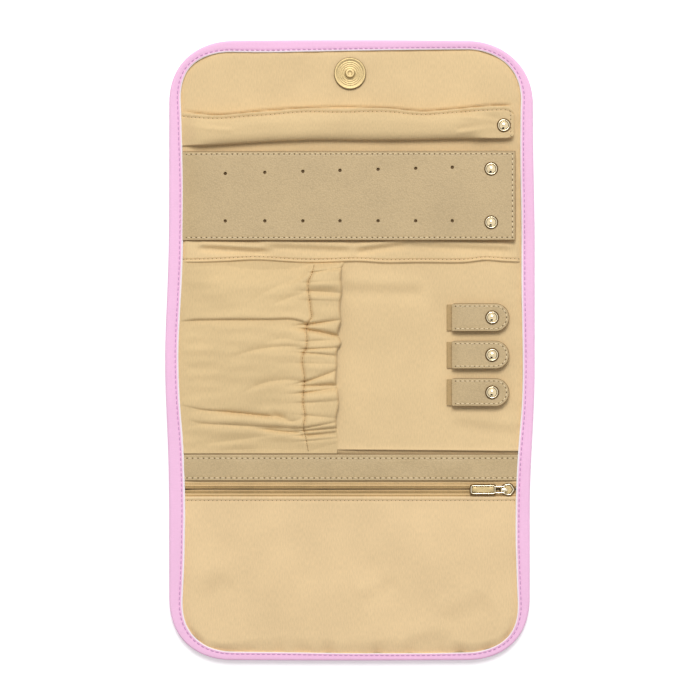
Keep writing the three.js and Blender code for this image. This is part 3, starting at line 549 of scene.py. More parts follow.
def lining_height(x, y):
    """The lining's height: its level over the wadding plus its relief, with the hem raised above its
    turned edge, a line pressed in along the ring bar, a hollow between bar and panel, and a step down
    to the pocket's back."""
    over = y - hem_line(x)
    hem = hem_rise * smooth(over / 0.0005 + 0.5) * smooth((0.066 - y) / 0.008)
    hem = hem + 0.0005 * bell(over - 0.0007, 0.0006)
    hem = (hem - 0.0005 * bell(over - hem_seam, 0.0005)) * smooth(from_sides(x, y, 0.0080) / 0.0015)
    below = smooth((lower_fold + 0.0022 - y) / 0.0048)
    folds = sum(crease(x, y, *fold) for fold in lining_folds)
    sunk = 0.0006 * smooth((0.1180 - y) / 0.0065) * smooth((y - 0.0985) / 0.010)
    pressed = 0.0013 * bell(y - bar_top_line(x) - 0.0004, 0.0007) * (y > 0.12)
    pressed = pressed * smooth((bar_press_end - x) / 0.006)
    relief = np.maximum(lining_relief(x, y) + folds - pressed - sunk, -0.0015)
    return lining_level + relief + hem - (lining_level - pocket_back_level) * below


stitch_stations = np.array([-1, -0.72, 0, 0.72, 1])
stitch_girth = np.array([0, 0.85, 1, 0.85, 0])
stitch_arch = np.array([-1.1, 0.1, 0.55, 0.1, -1.1])
hole_girth = np.array([0.0, 1.0, 0.0])
hole_lift = np.array([-0.4, 0.0, 0.15])
thread_turn = np.arange(6) * np.pi / 3
upright = np.array([0, 0, 1.0])


def stitch_count(path, pitch):
    """How many stitches of a pitch go along a path."""
    length = np.linalg.norm(np.diff(path, axis=0), axis=1).sum()
    return max(2, int(round(length / pitch)))


def repeated(quads, points):
    """The quads of one small shape, repeated for each shape in an array of rings of points."""
    count, rings, sides = points.shape[:3]
    return (quads[None] + rings * sides * np.arange(count)[:, None, None]).reshape(-1, 4)


def stitch_row(path, pitch, share, radius, thread):
    """A row of stitches along a path: every pitch, a small tapered capsule that arches up out of the
    cloth, as rings of six points along its length."""
    count = stitch_count(path, pitch)
    spots = evenly(path, 2 * count + 1)
    centre, along = spots[1::2], spots[2::2] - spots[:-2:2]
    step = np.linalg.norm(along, axis=1, keepdims=True)
    along = along / step
    side = np.cross(upright, along)
    side /= np.linalg.norm(side, axis=1, keepdims=True)
    raised = np.cross(along, side)
    ring = np.cos(thread_turn)[:, None] * side[:, None] + np.sin(thread_turn)[:, None] * raised[:, None]
    lift = raised[:, None] * (stitch_arch * radius)[None, :, None]
    reach = along[:, None] * (stitch_stations[None, :, None] * step[:, None] * share / 2)
    line = centre[:, None] + reach + lift
    points = line[:, :, None] + ring[:, None] * (stitch_girth * radius)[None, :, None, None]
    quads = repeated(grid_quads(len(stitch_stations), 6, wrap=True)[:, ::-1], points)
    layout = np.stack(np.broadcast_arrays(
        np.arange(count)[:, None, None] * pitch + stitch_stations[None, :, None] * pitch / 2,
        thread_turn[None, None] * radius), axis=-1)
    return points.reshape(-1, 3), quads, layout.reshape(-1, 2), thread


def needle_marks(path, pitch, radius, material):
    """The needle's holes between the stitches of a row, drawn as painted shade: at each end of each stitch a
    small dark lens, drawn as a ring of six points between a lower and an upper middle."""
    centre = evenly(path, stitch_count(path, pitch) + 1)
    along = np.gradient(centre, axis=0)
    along /= np.linalg.norm(along, axis=1, keepdims=True)
    side = np.cross(upright, along)
    ring = np.cos(thread_turn)[:, None] * along[:, None] + np.sin(thread_turn)[:, None] * side[:, None]
    girth = hole_girth[:, None, None] * radius
    lift = hole_lift[:, None, None] * radius
    points = centre[:, None, None] + ring[:, None] * girth + upright * lift
    quads = repeated(grid_quads(len(hole_girth), 6, wrap=True), points)
    points = points.reshape(-1, 3)
    return points, quads, points[:, :2], material


def sewn_row(path, pitch, share, radius, thread, hole, shade):
    """A row of stitches along a path, with the needle's holes between them in painted shade."""
    return stitch_row(path, pitch, share, radius, thread), needle_marks(path, pitch, hole, shade)


def sewing_thread(name, colour):
    """Twisted sewing thread: slanting ridges one ply apart, lighter on top and darker between, which is
    painted shade between the plies.
    """
    finish, tree, shader = new_finish(name)
    layout = flat_layout(tree)
    wave = tree.nodes.new("ShaderNodeTexWave")
    wave.bands_direction = "DIAGONAL"
    wave.inputs["Scale"].default_value = np.pi / 10 / 0.00035
    tree.links.new(layout, wave.inputs["Vector"])
    dark = [c * 0.8 for c in colour]
    tree.links.new(tint(tree, wave.outputs["Fac"], 0, 1, dark, colour), shader.inputs["Base Color"])
    shader.inputs["Roughness"].default_value = 0.6
    shader.inputs["Sheen Weight"].default_value = 0.1
    bump(tree, wave.outputs["Fac"], 0.00006, shader)
    return finish


beige_thread = sewing_thread("beige_thread", (0.82, 0.62, 0.37))
needle_shade = woven("needle_shade", (0.20, 0.125, 0.055), 0.0004, 0.00005, 0.9, 0.0, 0.2)


def lining_seam(path, pitch, radius, hole):
    """A row of stitches in the lining cloth, in its own thread."""
    return sewn_row(path, pitch, 0.7, radius, beige_thread, hole, needle_shade)


def lining_piece(name, y_lines, *stitches):
    """A length of the lining, face up, with any stitches that run across it."""
    x, y = cloth_grid(y_lines, 130, 0.0035)
    z = lining_height(x, y)
    return make(name, layer(x, y, z, z - lining_thickness, beige_sateen), *stitches)


hem_x = np.linspace(-0.0938, 0.0950, 400)
hem_y = hem_line(hem_x) + hem_seam
hem_path = np.stack([hem_x, hem_y, lining_height(hem_x[None], hem_y[None])[0] + 0.00005], axis=1)
hem_stitches = lining_seam(hem_path, 0.0024, 0.00024, 0.00036)
lining_lines = {
    "top": roll_lines(upper_split, roll_top - 0.0054, 0.0009),
    "middle": roll_lines(middle_split, upper_split, 0.0013,
                         (hem_edge + 0.0016, 0.0040, 44), (upper_fold, upper_reach, 40)),
    "bottom": roll_lines(roll_bottom + 0.0048, middle_split, 0.0020,
                         (lower_fold, lower_reach, 40), (-0.0285, 0.0265, 50)),
}
for length, y_lines in lining_lines.items():
    lining = lining_piece(f"lining_{length}", y_lines, *(hem_stitches if length == "middle" else ()))
    dress_length(lining, length, "lining")


# Edge binding
# Pink cotton tape folded round the edge of all the layers and sewn through with one row of mauve
# stitches near its inner edge. Its turned-in edge lies beside the lining, and a narrow pale line of
# painted highlight runs along it.

binding_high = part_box("flap_binding")[1].z
bulge = 0.0018
binding_pitch = 0.0029
stitch_inset = 0.0011 + 0.0007 * np.abs(edge_along[:, 1])
mauve_thread = sewing_thread("mauve_thread", (0.66, 0.34, 0.60))
# A near-white painted highlight along the binding's inner lip.
painted_edge_highlight = woven("painted_highlight_tape_edge", (0.96, 0.88, 0.93), 0.0004, 0.00005, 0.85, 0.1, 0.03)
edge_step = np.linalg.norm(np.roll(edge_line, -1, axis=0) - edge_line, axis=1)
edge_length = np.cumsum(edge_step) - edge_step[0]


def signed_power(value, power):
    """A power of a value's size, with the value's own sign."""
    return np.sign(value) * np.abs(value) ** power


def binding_section(width, along, sewn_inset):
    """The tape's section at each place along the edge, as distance in from the edge and height: a
    lower lip, half a squared ellipse round the edge, and an upper lip that dips at the stitches."""
    lip = np.linspace(0, 1, 8)[None]
    lower_in = width[:, None] + (bulge - width[:, None]) * lip
    lower_z = 0.0007 * (1 - smooth(lip * 2.2)) + 0 * lower_in
    turn = np.linspace(np.pi / 2, -np.pi / 2, 13)[None, 1:-1]
    round_in = bulge * (1 - np.cos(turn) ** 0.75) + 0 * width[:, None]
    round_z = binding_high / 2 * (1 - signed_power(np.sin(turn), 0.7)) + 0 * width[:, None]
    reach = np.concatenate([np.linspace(0, 0.55, 5), np.linspace(0.62, 1, 13)])[None]
    upper_in = bulge + (width[:, None] - bulge) * reach
    off = upper_in - (width - sewn_inset)[:, None]
    pucker = 0.5 + 0.5 * np.cos(2 * np.pi * along[:, None] / binding_pitch)
    dip = (0.00028 + 0.0001 * pucker) * bell(off, 0.0007)
    wave = 0.00010 * undulation(along[:, None], 0, 0.035, 31)
    fall = 0.0004 * smooth((upper_in - width[:, None] + 0.0006) / 0.0006)
    upper_z = binding_high - 0.0001 - dip - fall + wave * reach
    inner_in = width[:, None] + 0.0001 * np.array([[0.5, 0.0]])
    inner_z = np.full((len(width), 2), lining_level) + np.array([[-0.0003, -0.0016]])
    return (np.concatenate([lower_in, round_in, upper_in, inner_in], axis=1),
            np.concatenate([lower_z, round_z, upper_z, inner_z], axis=1))


def binding_piece(name, first, last):
    """A length of the binding between two places on the edge, with its row of stitches."""
    places = np.arange(first, last + 1)
    index = places % len(edge_line)
    along = edge_length[index] + np.where(places >= len(edge_line), edge_length[-1], 0)
    inset, z = binding_section(binding_width[index], along, stitch_inset[index])
    flat = edge_line[index][:, None] + edge_inward[index][:, None] * inset[..., None]
    points = np.concatenate([flat, z[..., None]], axis=-1)
    across = np.concatenate([[0], np.cumsum(np.linalg.norm(np.diff(points[0], axis=0), axis=1))])
    layout = np.stack(np.broadcast_arrays(along[:, None], across[None]), axis=-1)
    tape = skin(points[:, :-6], layout[:, :-6], pink_cotton)
    # The inner lip's last strips are a pale painted highlight, where the fold catches the light.
    highlight_edge = skin(points[:, -7:], layout[:, -7:], painted_edge_highlight)
    sewn = edge_line[index] + edge_inward[index] * (binding_width - stitch_inset)[index][:, None]
    path = np.column_stack([sewn, np.full(len(sewn), binding_high - 0.00028)])
    return make(name, tape, highlight_edge, stitch_row(path, binding_pitch, 0.75, 0.00024, mauve_thread))


def edge_index(y, side):
    """The place on the edge at a height y, on the left or the right side."""
    off = np.abs(edge_line[:, 1] - y) + np.where(edge_line[:, 0] * side > 0, 0, 1)
    return int(np.argmin(off))


right_low, right_high = edge_index(middle_split, 1), edge_index(upper_split, 1)
left_high, left_low = edge_index(upper_split, -1), edge_index(middle_split, -1)
binding_right = binding_piece("binding_right", right_low, right_high)
binding_flap = binding_piece("binding_flap", right_high, left_high)
binding_left = binding_piece("binding_left", left_high, left_low)
binding_bottom = binding_piece("binding_bottom", left_low, right_low + len(edge_line))
for tape, length, nodes, cut_length in (
    (binding_flap, "top", ["flap_binding", "upper_binding_left", "upper_binding_right"], 0.33),
    (binding_left, "middle", ["upper_binding_left", "middle_binding_left"], 0.1),
    (binding_right, "middle", ["upper_binding_right", "middle_binding_right"], 0.1),
    (binding_bottom, "bottom", ["lower_binding", "middle_binding_left", "middle_binding_right"], 0.51),
):
    dress_fold(tape, nodes)


# Magnetic snap
# A pressed disc in pale gold plating on the flap, held by prongs through the lining, and its ringed
# mate let into the outer cover. Both faces are left plain but for fine turned grooves.


def plated(name, colour, roughness, depth):
    """Plated metal: a fine unevenness of polish and colour, with a slight ripple in the surface."""
    finish, tree, shader = new_finish(name)
    place = tree.nodes.new("ShaderNodeTexCoord").outputs["Object"]
    clouds = noise_of(tree, place, (500, 500), 3.0)
    grains = noise_of(tree, place, (2600, 2600), 2.0)
    dark = [c * 0.86 for c in colour]
    tree.links.new(tint(tree, clouds, 0.35, 0.65, dark, colour), shader.inputs["Base Color"])
    shader.inputs["Metallic"].default_value = 1
    polish = calculate(tree, "ADD", calculate(tree, "MULTIPLY", clouds, 0.16), roughness - 0.08)
    tree.links.new(polish, shader.inputs["Roughness"])
    bump(tree, grains, depth, shader)
    return finish


pale_gold = plated("pale_gold", (0.88, 0.78, 0.56), 0.18, 0.000012)
bright_gold = plated("bright_gold", (0.88, 0.72, 0.45), 0.12, 0.000003)
soft_gold = plated("soft_gold", (0.50, 0.38, 0.19), 0.5, 0.00008)
# Near-black gold is painted shade: the dark outlines round the metal parts' rims and in their grooves.
painted_shade_gold = plated("painted_shade_gold", (0.13, 0.075, 0.028), 0.34, 0.00003)
washer_steel = plated("washer_steel", (0.56, 0.55, 0.52), 0.42, 0.00003)


def turned(profile, at, material, sides=56):
    """A profile of radius and height points turned about an upright axis, with the outside out."""
    x, y = at[:2]
    profile = np.asarray(profile, float)
    turn = np.linspace(0, 2 * np.pi, sides, endpoint=False)
    points = np.stack([
        x + profile[:, :1] * np.cos(turn),
        y + profile[:, :1] * np.sin(turn),
        np.repeat(profile[:, 1:], sides, axis=1),
    ], axis=-1)
    layout = np.stack(np.broadcast_arrays(profile[:, :1] * turn, profile[:, :1]), axis=-1)
    return skin(points, layout, material, wrap=True)


def dress_rigid(made, body, nodes):
    """Rides a piece on a body and hides the solids it stands for."""
    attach(made, body)
    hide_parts(*nodes)


magnet_at = centre_of("flap_magnet_disc")
magnet_low, magnet_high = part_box("flap_magnet_disc")
magnet_radius = (magnet_high.x - magnet_low.x) / 2
magnet_face = lining_level + 0.0014
nub_top = magnet_high.z
turned_pitch = 0.00108
groove_r = np.linspace(magnet_radius - 0.0016, 0.0036, 41)
groove_z = magnet_face - 0.00025 - 0.00007 * (1 - np.cos(groove_r * 2 * np.pi / turned_pitch))
magnet_rim = [
    [0, magnet_low.z], [0.0055, magnet_low.z], [0.0055, lining_level - 0.0003],
    [magnet_radius - 0.0003, lining_level], [magnet_radius, lining_level + 0.0004],
    [magnet_radius, magnet_face - 0.0005], [magnet_radius - 0.0002, magnet_face - 0.00015],
]
magnet_dish = np.concatenate([
    [magnet_rim[-1], [magnet_radius - 0.0006, magnet_face], [magnet_radius - 0.0011, magnet_face - 0.0001]],
    np.column_stack([groove_r, groove_z]),
    [[0.0030, magnet_face - 0.0003], [0.0027, magnet_face - 0.0001], [0.0026, magnet_face + 0.0007],
     [0.0024, nub_top - 0.0001], [0.0021, nub_top], [0.0013, nub_top - 0.0001],
     [0.0010, nub_top - 0.0006], [0, nub_top - 0.0007]],
])
# The disc's rim is in painted shade, a dark outline round its face.
flap_magnet = make("flap_magnet", turned(magnet_rim, magnet_at, painted_shade_gold, 72),
                   turned(magnet_dish, magnet_at, soft_gold, 72))
dress_rigid(flap_magnet, "flap", ["flap_magnet_disc"])

mate_high = 0.0011
mate_bore = 0.0032
mate_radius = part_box("cover_magnet_disc")[1].x - mate_at.x
mate_r = np.linspace(0.0039, mate_radius - 0.0014, 41)
mate_z = 0.00018 + 0.00006 * (1 - np.cos(mate_r * 2 * np.pi / turned_pitch))
mate_profile = np.concatenate([
    [[mate_bore, mate_high], [mate_bore, 0.0004], [0.0034, 0.0001]],
    np.column_stack([mate_r, mate_z]),
    [[mate_radius - 0.0009, 0.00005], [mate_radius - 0.0003, 0.0001], [mate_radius, 0.0005],
     [mate_radius, mate_high], [mate_bore, mate_high]],
])
cover_magnet = make("cover_magnet", turned(mate_profile, mate_at, soft_gold, 72))
dress_rigid(cover_magnet, "lower", ["cover_magnet_disc"])
for washer in ("flap_magnet_backplate", "cover_magnet_backplate"):
    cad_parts[washer].data.materials.clear()
    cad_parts[washer].data.materials.append(washer_steel)


# Ring bar
# A sleeve of the lining cloth, stuffed round with wadding, on which rings are threaded. Its seam
# allowance lies flat along the top edge under a row of stitches; the left end is sewn in under the
# binding, and the right end is pressed flat for the snap.

bar_low, bar_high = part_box("ring_bar_sleeve")
bar_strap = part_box("ring_bar_socket")[1].z
bar_left, bar_right = -0.0952, bar_high.x - 0.0002
bar_crest = 0.0065
bar_crown = 0.46
bar_seam_at = 0.12
bar_width = 0.02
bar_girth = 0.026
# The bar's cloth is the lining's sateen painted a little darker, as painted shade on its puffed face.
bar_sateen_shaded = sateen("bar_sateen_shaded", (0.750, 0.552, 0.294))
# Each line of drag, along and across the bar: its two ends, its depth and its spread.
bar_drags = [
    ((-0.092, 0.006), (-0.066, 0.010), 0.0004, 0.0022),
    ((0.062, 0.004), (0.084, 0.009), 0.0006, 0.0020),
    ((0.060, 0.015), (0.082, 0.012), 0.0005, 0.0020),
    ((0.083, 0.012), (0.093, 0.018), 0.0005, 0.0014),
]


def bar_edges(x):
    """The bar's top and bottom edge: it rises to the right, is a little slimmer at its middle, and its
    right corners are eased off."""
    t = (x - bar_left) / (bar_right - bar_left)
    top = bar_top_line(x) + 0.0003 * undulation(x, 0, 0.05, 41)
    low = 0.1148 + 0.0031 * smooth(t * 2.2) + 0.0008 * smooth(t * 2 - 1) + 0.0002 * undulation(x, 0, 0.04, 42)
    end = np.clip((x - bar_right + 0.006) / 0.006, 0, 1) ** 2.5
    return top - 0.0032 * end, low + 0.0014 * end


def bar_surface(x, across):
    """The bar's upper face. Across it, a flat flange, a stitched groove and then a swell that climbs as
    a parabola to its crown and falls away as a quarter of an ellipse; along it, the swell grows from the
    sewn end and flattens at the snap."""
    top, low = bar_edges(x)
    ending = smooth((x - 0.064) / 0.017)
    swell = smooth((x - bar_left) / 0.024) ** 0.8 * (1 - ending)
    start = smooth((x - bar_left) / 0.012)
    base = (lining_level - 0.0009) * (1 - start) + (bar_low.z + 0.0001) * start
    under = base + (bar_strap - base) * ending
    flange = 0.0006 + 0.0032 * start - 0.0019 * ending
    inner = np.clip((across - bar_seam_at - 0.01) / (0.99 - bar_seam_at), 0, 1)
    climb = 1 - (1 - np.clip(inner / bar_crown, 0, 1)) ** 2.2
    fall = np.sqrt(np.clip(1 - (np.clip(inner - bar_crown, 0, 1) / (1 - bar_crown)) ** 3.2 * 0.84, 0, 1))
    height = flange + swell * np.maximum(bar_crest - flange, 0) * climb
    height = height * (1 - swell * (1 - fall))
    groove = 0.0005 * bell(across - bar_seam_at, 0.03)
    pucker = 0.00018 * undulation(x, 0, 0.007, 43) * bell(across - 0.2, 0.16)
    slack = 0.00014 * swell * undulation(x, across * bar_width, 0.035, 44)
    drag = sum(crease(x, across * bar_width, *fold) for fold in bar_drags)
    roll_over = 1 - smooth((0.02 - across) / 0.02) * 0.55 - smooth((across - 0.975) / 0.025) * 0.45
    z = under + (height - groove + pucker + slack + drag * np.maximum(swell, 0.4 * ending)) * roll_over
    return np.stack([x + 0 * z, top + (low - top) * across, z], axis=-1), under + 0 * z


bar_x = np.unique(np.concatenate([np.linspace(bar_left, bar_right, 170), np.linspace(0.056, bar_right, 50)]))
bar_across = np.concatenate([np.linspace(0, 0.2, 14), np.linspace(0.22, 0.94, 28), np.linspace(0.95, 1, 9)])
bar_top_points, bar_under = bar_surface(bar_x[:, None], bar_across[None])
bar_low_points = bar_top_points.copy()
bar_low_points[..., 2] = bar_under
bar_layout = np.dstack(np.broadcast_arrays(bar_x[:, None], bar_across[None] * bar_girth))
bar_seam, _ = bar_surface(np.linspace(-0.0935, 0.0895, 400), np.full(400, bar_seam_at))
bar_seam[:, 2] += 0.00012
bar_end, _ = bar_surface(np.full(60, bar_right - 0.0017), np.linspace(0.12, 0.95, 60))
bar_end[:, 2] += 0.00008
ring_bar = make(
    "ring_bar",
    slab(bar_top_points[:, ::-1], bar_low_points[:, ::-1], bar_layout[:, ::-1], bar_sateen_shaded),
    *lining_seam(bar_seam, 0.0025, 0.00023, 0.00028),
    *lining_seam(bar_end, 0.0025, 0.00023, 0.00028),
)
dress_rigid(ring_bar, "ring_bar", ["ring_bar_sleeve", "ring_bar_filling"])


# Earring panel
# A panel of tan leather on a cloth backing, punched with two rows of holes for studs. It is stitched
# round three sides, sewn in under the binding at the left and held by two snaps at the right.

panel_low, panel_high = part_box("earring_leather")
panel_left, panel_right = -0.0955, panel_high.x + 0.0003
panel_bottom, panel_top = panel_low.y, panel_high.y
panel_width = 0.0502
panel_hinge_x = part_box("earring_backing")[0].x
panel_snap = centre_of("earring_cap_upper")
panel_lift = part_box("earring_socket_upper")[1].z - 0.0004
panel_seam_in = 0.0017
leather_height = 0.00055
hole_radius = 0.00095
hole_columns = np.array([-70.03125, -47.8125, -26.4375, -5.625, 15.75, 36.84375, 57.375]) * 0.001
hole_rows = (0.0388, 0.0110)
row_rise, row_drop = 0.0034, 0.0012


def leather(name, colour, cell, depth, roughness):
    """Grained leather: small rounded cells with furrows between, over finer noise, and a colour that
    is darker in the furrows and drifts with slow clouds."""
    finish, tree, shader = new_finish(name)
    layout = flat_layout(tree)
    cells = tree.nodes.new("ShaderNodeTexVoronoi")
    cells.feature = "SMOOTH_F1"
    cells.inputs["Scale"].default_value = 1 / cell
    cells.inputs["Smoothness"].default_value = 0.5
    tree.links.new(layout, cells.inputs["Vector"])
    furrows = cells.outputs["Distance"]
    clouds = noise_of(tree, layout, (45, 45), 4.0)
    grains = noise_of(tree, layout, (2400, 2400), 3.0)
    shade = calculate(tree, "SUBTRACT", calculate(tree, "ADD", calculate(tree, "MULTIPLY", clouds, 0.35),
                      calculate(tree, "MULTIPLY", grains, 0.9)), calculate(tree, "MULTIPLY", furrows, 0.3))
    dark = [c * 0.84 for c in colour]
    light = [c * 1.1 for c in colour]
    tree.links.new(tint(tree, shade, 0.3, 0.7, dark, light), shader.inputs["Base Color"])
    polish = calculate(tree, "ADD", calculate(tree, "MULTIPLY", grains, 0.2), roughness - 0.1)
    tree.links.new(polish, shader.inputs["Roughness"])
    shader.inputs["Specular IOR Level"].default_value = 0.35
    relief = calculate(tree, "SUBTRACT", calculate(tree, "MULTIPLY", grains, 0.4), furrows)
    bump(tree, relief, depth, shader)
    return finish


tan_leather = leather("tan_leather", (0.545, 0.404, 0.217), 0.0009, 0.0001, 0.5)
# Near-black leather: painted shade for the floors of the punched holes.
hole_shade_leather = leather("hole_shade_leather", (0.16, 0.10, 0.045), 0.0006, 0.0001, 0.85)
# Dark brown edge paint on the cut edges, carried a little onto the face as painted shade along them.
edge_paint_and_shade = leather("edge_paint_and_shade", (0.27, 0.165, 0.07), 0.0006, 0.00005, 0.6)
leather_thread = sewing_thread("leather_thread", (0.90, 0.73, 0.46))
# Painted shade in the needle's holes through the leather.
stitch_hole_shade = leather("stitch_hole_shade", (0.11, 0.07, 0.03), 0.0004, 0.00005, 0.9)
painted_rim = 0.0004
eased_rim = 0.0007


def leather_seam(path, pitch, hole):
    """A row of stitches in leather, with the holes that the needle has cut drawn as dark lenses of painted
    shade.
    """
    return sewn_row(path, pitch, 0.66, 0.00033, leather_thread, hole, stitch_hole_shade)


def eased_edge(inset):
    """How far a cut edge has risen to the leather's face at an inset: a quarter of a circle."""
    return np.sqrt(np.clip(1 - (1 - np.clip(inset / eased_rim, 0, 1)) ** 2, 0, 1))


def edged(part, inset):
    """Splits a leather part in two: faces within the painted rim of its cut edge take the edge paint, which
    is also painted shade along the edge. inset gives the distance in from the edge at a place."""
    points, quads, layout, material = part
    middle = points[quads].mean(axis=1)
    rim = inset(middle[:, 0], middle[:, 1]) < painted_rim
    return (points, quads[~rim], layout, material), (points, quads[rim], layout, edge_paint_and_shade)


def panel_under(x):
    """The underside of the backing: from the lining at the sewn end up to the snaps' sockets."""
    rise = (x - panel_hinge_x) / (panel_snap.x - panel_hinge_x)
    level = panel_low.z - 0.0003 + (panel_lift - panel_low.z + 0.0003) * rise
    return level - 0.0014 * (1 - smooth((x - panel_left) / 0.016))


def panel_inset(x, y):
    """How far a place lies in from the panel's free edges."""
    return np.minimum(panel_right - x, np.minimum(panel_top - y, y - panel_bottom))


def panel_thickness(x, y):
    """The leather's thickness: rounded off at the free edges, pressed in along the stitches, and skived
    thin where it goes under the binding."""
    inset = panel_inset(x, y)
    eased = 0.0005 * (1 - eased_edge(inset))
    groove = 0.00014 * bell(inset - panel_seam_in, 0.0005) * (x > panel_left + 0.002)
    skived = 0.0010 * (1 - smooth((x - panel_left - 0.001) / 0.007))
    return 0.0016 - skived - eased - groove + 0.00006 * undulation(x, y, 0.04, 51)


def panel_at(up):
    """The height y of a place that is a distance up the panel's cut width."""
    return panel_bottom + up * (panel_top - panel_bottom) / panel_width


edge_steps = np.array([0, 0.05, 0.2, 0.4, 0.7, 1.0, 1.4, 1.7, 2.0, 2.4, 2.8, 4, 6]) * 0.001
hole_steps = np.array([-2.2, -1.3, -1.04, -0.92, -0.5, 0, 0.5, 0.92, 1.04, 1.3, 2.2]) * hole_radius
panel_columns = np.sort(np.concatenate([
    panel_left + np.array([0, 0.003, 0.006, 0.010, 0.015]),
    (hole_columns[:, None] + hole_steps).ravel(),
    *[hole_columns[:-1] + np.diff(hole_columns) * k / 5 for k in (1, 2, 3, 4)],
    np.linspace(hole_columns[-1] + 0.004, panel_right - 0.0034, 9),
    panel_right - edge_steps[:11],
]))
panel_rows = np.sort(np.concatenate([
    (np.array(hole_rows)[:, None] + hole_steps).ravel(),
    edge_steps,
    panel_width - edge_steps,
    np.linspace(0.0145, 0.0355, 9),
]))
# The grid's squares round each hole are drawn into rings, and the upper row of holes is sloped.
panel_x, panel_y = np.meshgrid(panel_columns, panel_at(panel_rows))
panel_depth = np.zeros_like(panel_x)
nearest = hole_columns[np.argmin(np.abs(panel_columns[:, None] - hole_columns), axis=1)]
for up in hole_rows:
    dx, dy = panel_x - nearest, panel_y - panel_at(up)
    square = np.maximum(np.abs(dx), np.abs(dy))
    round_share = smooth((2.2 * hole_radius - square) / (0.9 * hole_radius))
    shrink = 1 + round_share * (square / np.maximum(np.hypot(dx, dy), 1e-9) - 1)
    panel_x, panel_y = nearest + dx * shrink, panel_at(up) + dy * shrink
    panel_depth += 0.0013 * smooth((1.05 * hole_radius - square) / (0.1 * hole_radius))
upper_half = smooth((panel_y - panel_bottom - 0.018) / 0.018) * smooth((panel_top - panel_y - 0.003) / 0.006)
row_slope = row_rise * (panel_x - hole_columns[0]) / (hole_columns[-1] - hole_columns[0]) - row_drop
panel_y = panel_y + upper_half * row_slope
panel_base = panel_under(panel_x) + leather_height
panel_face = panel_base + panel_thickness(panel_x, panel_y) - panel_depth
panel_part = layer(panel_x, panel_y, panel_face, panel_base, tan_leather)


def panel_seam(x, y):
    """A row of stitches on the leather's face, along places x and y."""
    x, y = np.broadcast_arrays(x, y)
    z = panel_under(x) + leather_height + panel_thickness(x, y) + 0.00006
    return leather_seam(np.column_stack([x, y, z]), 0.0029, 0.00041)


seam_x = np.linspace(panel_left + 0.0035, panel_right - panel_seam_in, 300)
seam_y = np.linspace(panel_bottom + panel_seam_in, panel_top - panel_seam_in, 90)
earring_leather = make(
    "earring_panel_leather",
    *edged(panel_part, panel_inset),
    *panel_seam(seam_x, panel_top - panel_seam_in),
    *panel_seam(panel_right - panel_seam_in, seam_y),
    *panel_seam(seam_x, panel_bottom + panel_seam_in),
)
dress_rigid(earring_leather, "earring_panel", ["earring_leather"])
# Each hole's floor is a dark disc of painted shade, the shade down inside the hole.
plug_r, plug_z = hole_radius * 0.9, 0.00035
hole_plugs = []
for i, column in enumerate(hole_columns):
    base = float(panel_under(column)) + leather_height
    plug = [[plug_r, base], [plug_r, base + plug_z], [0, base + plug_z]]
    for up, sloped in zip(hole_rows, (row_rise * i / (len(hole_columns) - 1) - row_drop, 0)):
        hole_plugs.append(turned(plug, (column, panel_at(up) + sloped), hole_shade_leather, 12))
panel_holes = make("earring_holes", *hole_plugs)
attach(panel_holes, "earring_panel")
backing_in = 0.0006
back_x, back_y = np.meshgrid(np.linspace(panel_left, panel_right - backing_in, 90),
                             np.linspace(panel_bottom + backing_in, panel_top - backing_in, 30))
back_low = panel_under(back_x) + 0.00003 * undulation(back_x, back_y, 0.02, 52)
earring_backing = make("earring_panel_backing",
                       layer(back_x, back_y, panel_under(back_x) + 0.0005, back_low, beige_sateen))
dress_rigid(earring_backing, "earring_panel", ["earring_backing"])


# Press snaps
# Small plated snaps: a polished domed cap in a rolled rim over each strap, a sprung socket
# under it, and a stud riveted through the lining.

snap_radius = 0.0038
shank_radius = 0.0011


def snap_cap(name, body, node):
    """A cap on a short shank: a skirt and a groove in near-black painted shade, a rolled rim and a polished
    dome, which is part of a sphere."""
    low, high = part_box(node)
    at = centre_of(node)
    seat = high.z - 0.0014
    r = snap_radius
    skirt = [[0, low.z], [shank_radius, low.z], [shank_radius, seat], [r, seat], [r + 0.0001, seat + 0.0002],
             [r, seat + 0.0004], [r - 0.0005, seat + 0.00055]]
    rim = [skirt[-1], [r - 0.0006, seat + 0.0008], [r - 0.0008, seat + 0.0009],
           [r - 0.0010, seat + 0.00085], [r - 0.0011, seat + 0.0007]]
    groove = [rim[-1], [r - 0.0012, seat + 0.0005], [r - 0.0014, seat + 0.00055]]
    dome_r = r - 0.0014
    dome_rise = 0.00085
    ball = (dome_r**2 + dome_rise**2) / (2 * dome_rise)
    out = np.linspace(dome_r, 0, 10)
    dome = np.column_stack([out, high.z - ball + np.sqrt(ball**2 - out**2)])
    cap = make(name, turned(skirt, at, painted_shade_gold), turned(rim, at, pale_gold),
               turned(groove, at, painted_shade_gold), turned(dome, at, bright_gold))
    dress_rigid(cap, body, [node])


def snap_socket(name, body, node):
    """A socket: a ring with a rounded lip round its mouth."""
    low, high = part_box(node)
    at = centre_of(node)
    outer, mouth, bore = 0.0042, 0.0025, 0.00125
    ring = [[mouth, low.z + 0.0002], [mouth + 0.0002, low.z], [outer - 0.0004, low.z],
            [outer - 0.0001, low.z + 0.0001], [outer, low.z + 0.0004], [outer, high.z - 0.0002],
            [outer - 0.0002, high.z], [bore, high.z], [bore, high.z - 0.0006], [mouth, high.z - 0.0006],
            [mouth, low.z + 0.0002]]
    socket = make(name, turned(ring, at, pale_gold, 40))
    dress_rigid(socket, body, [node])


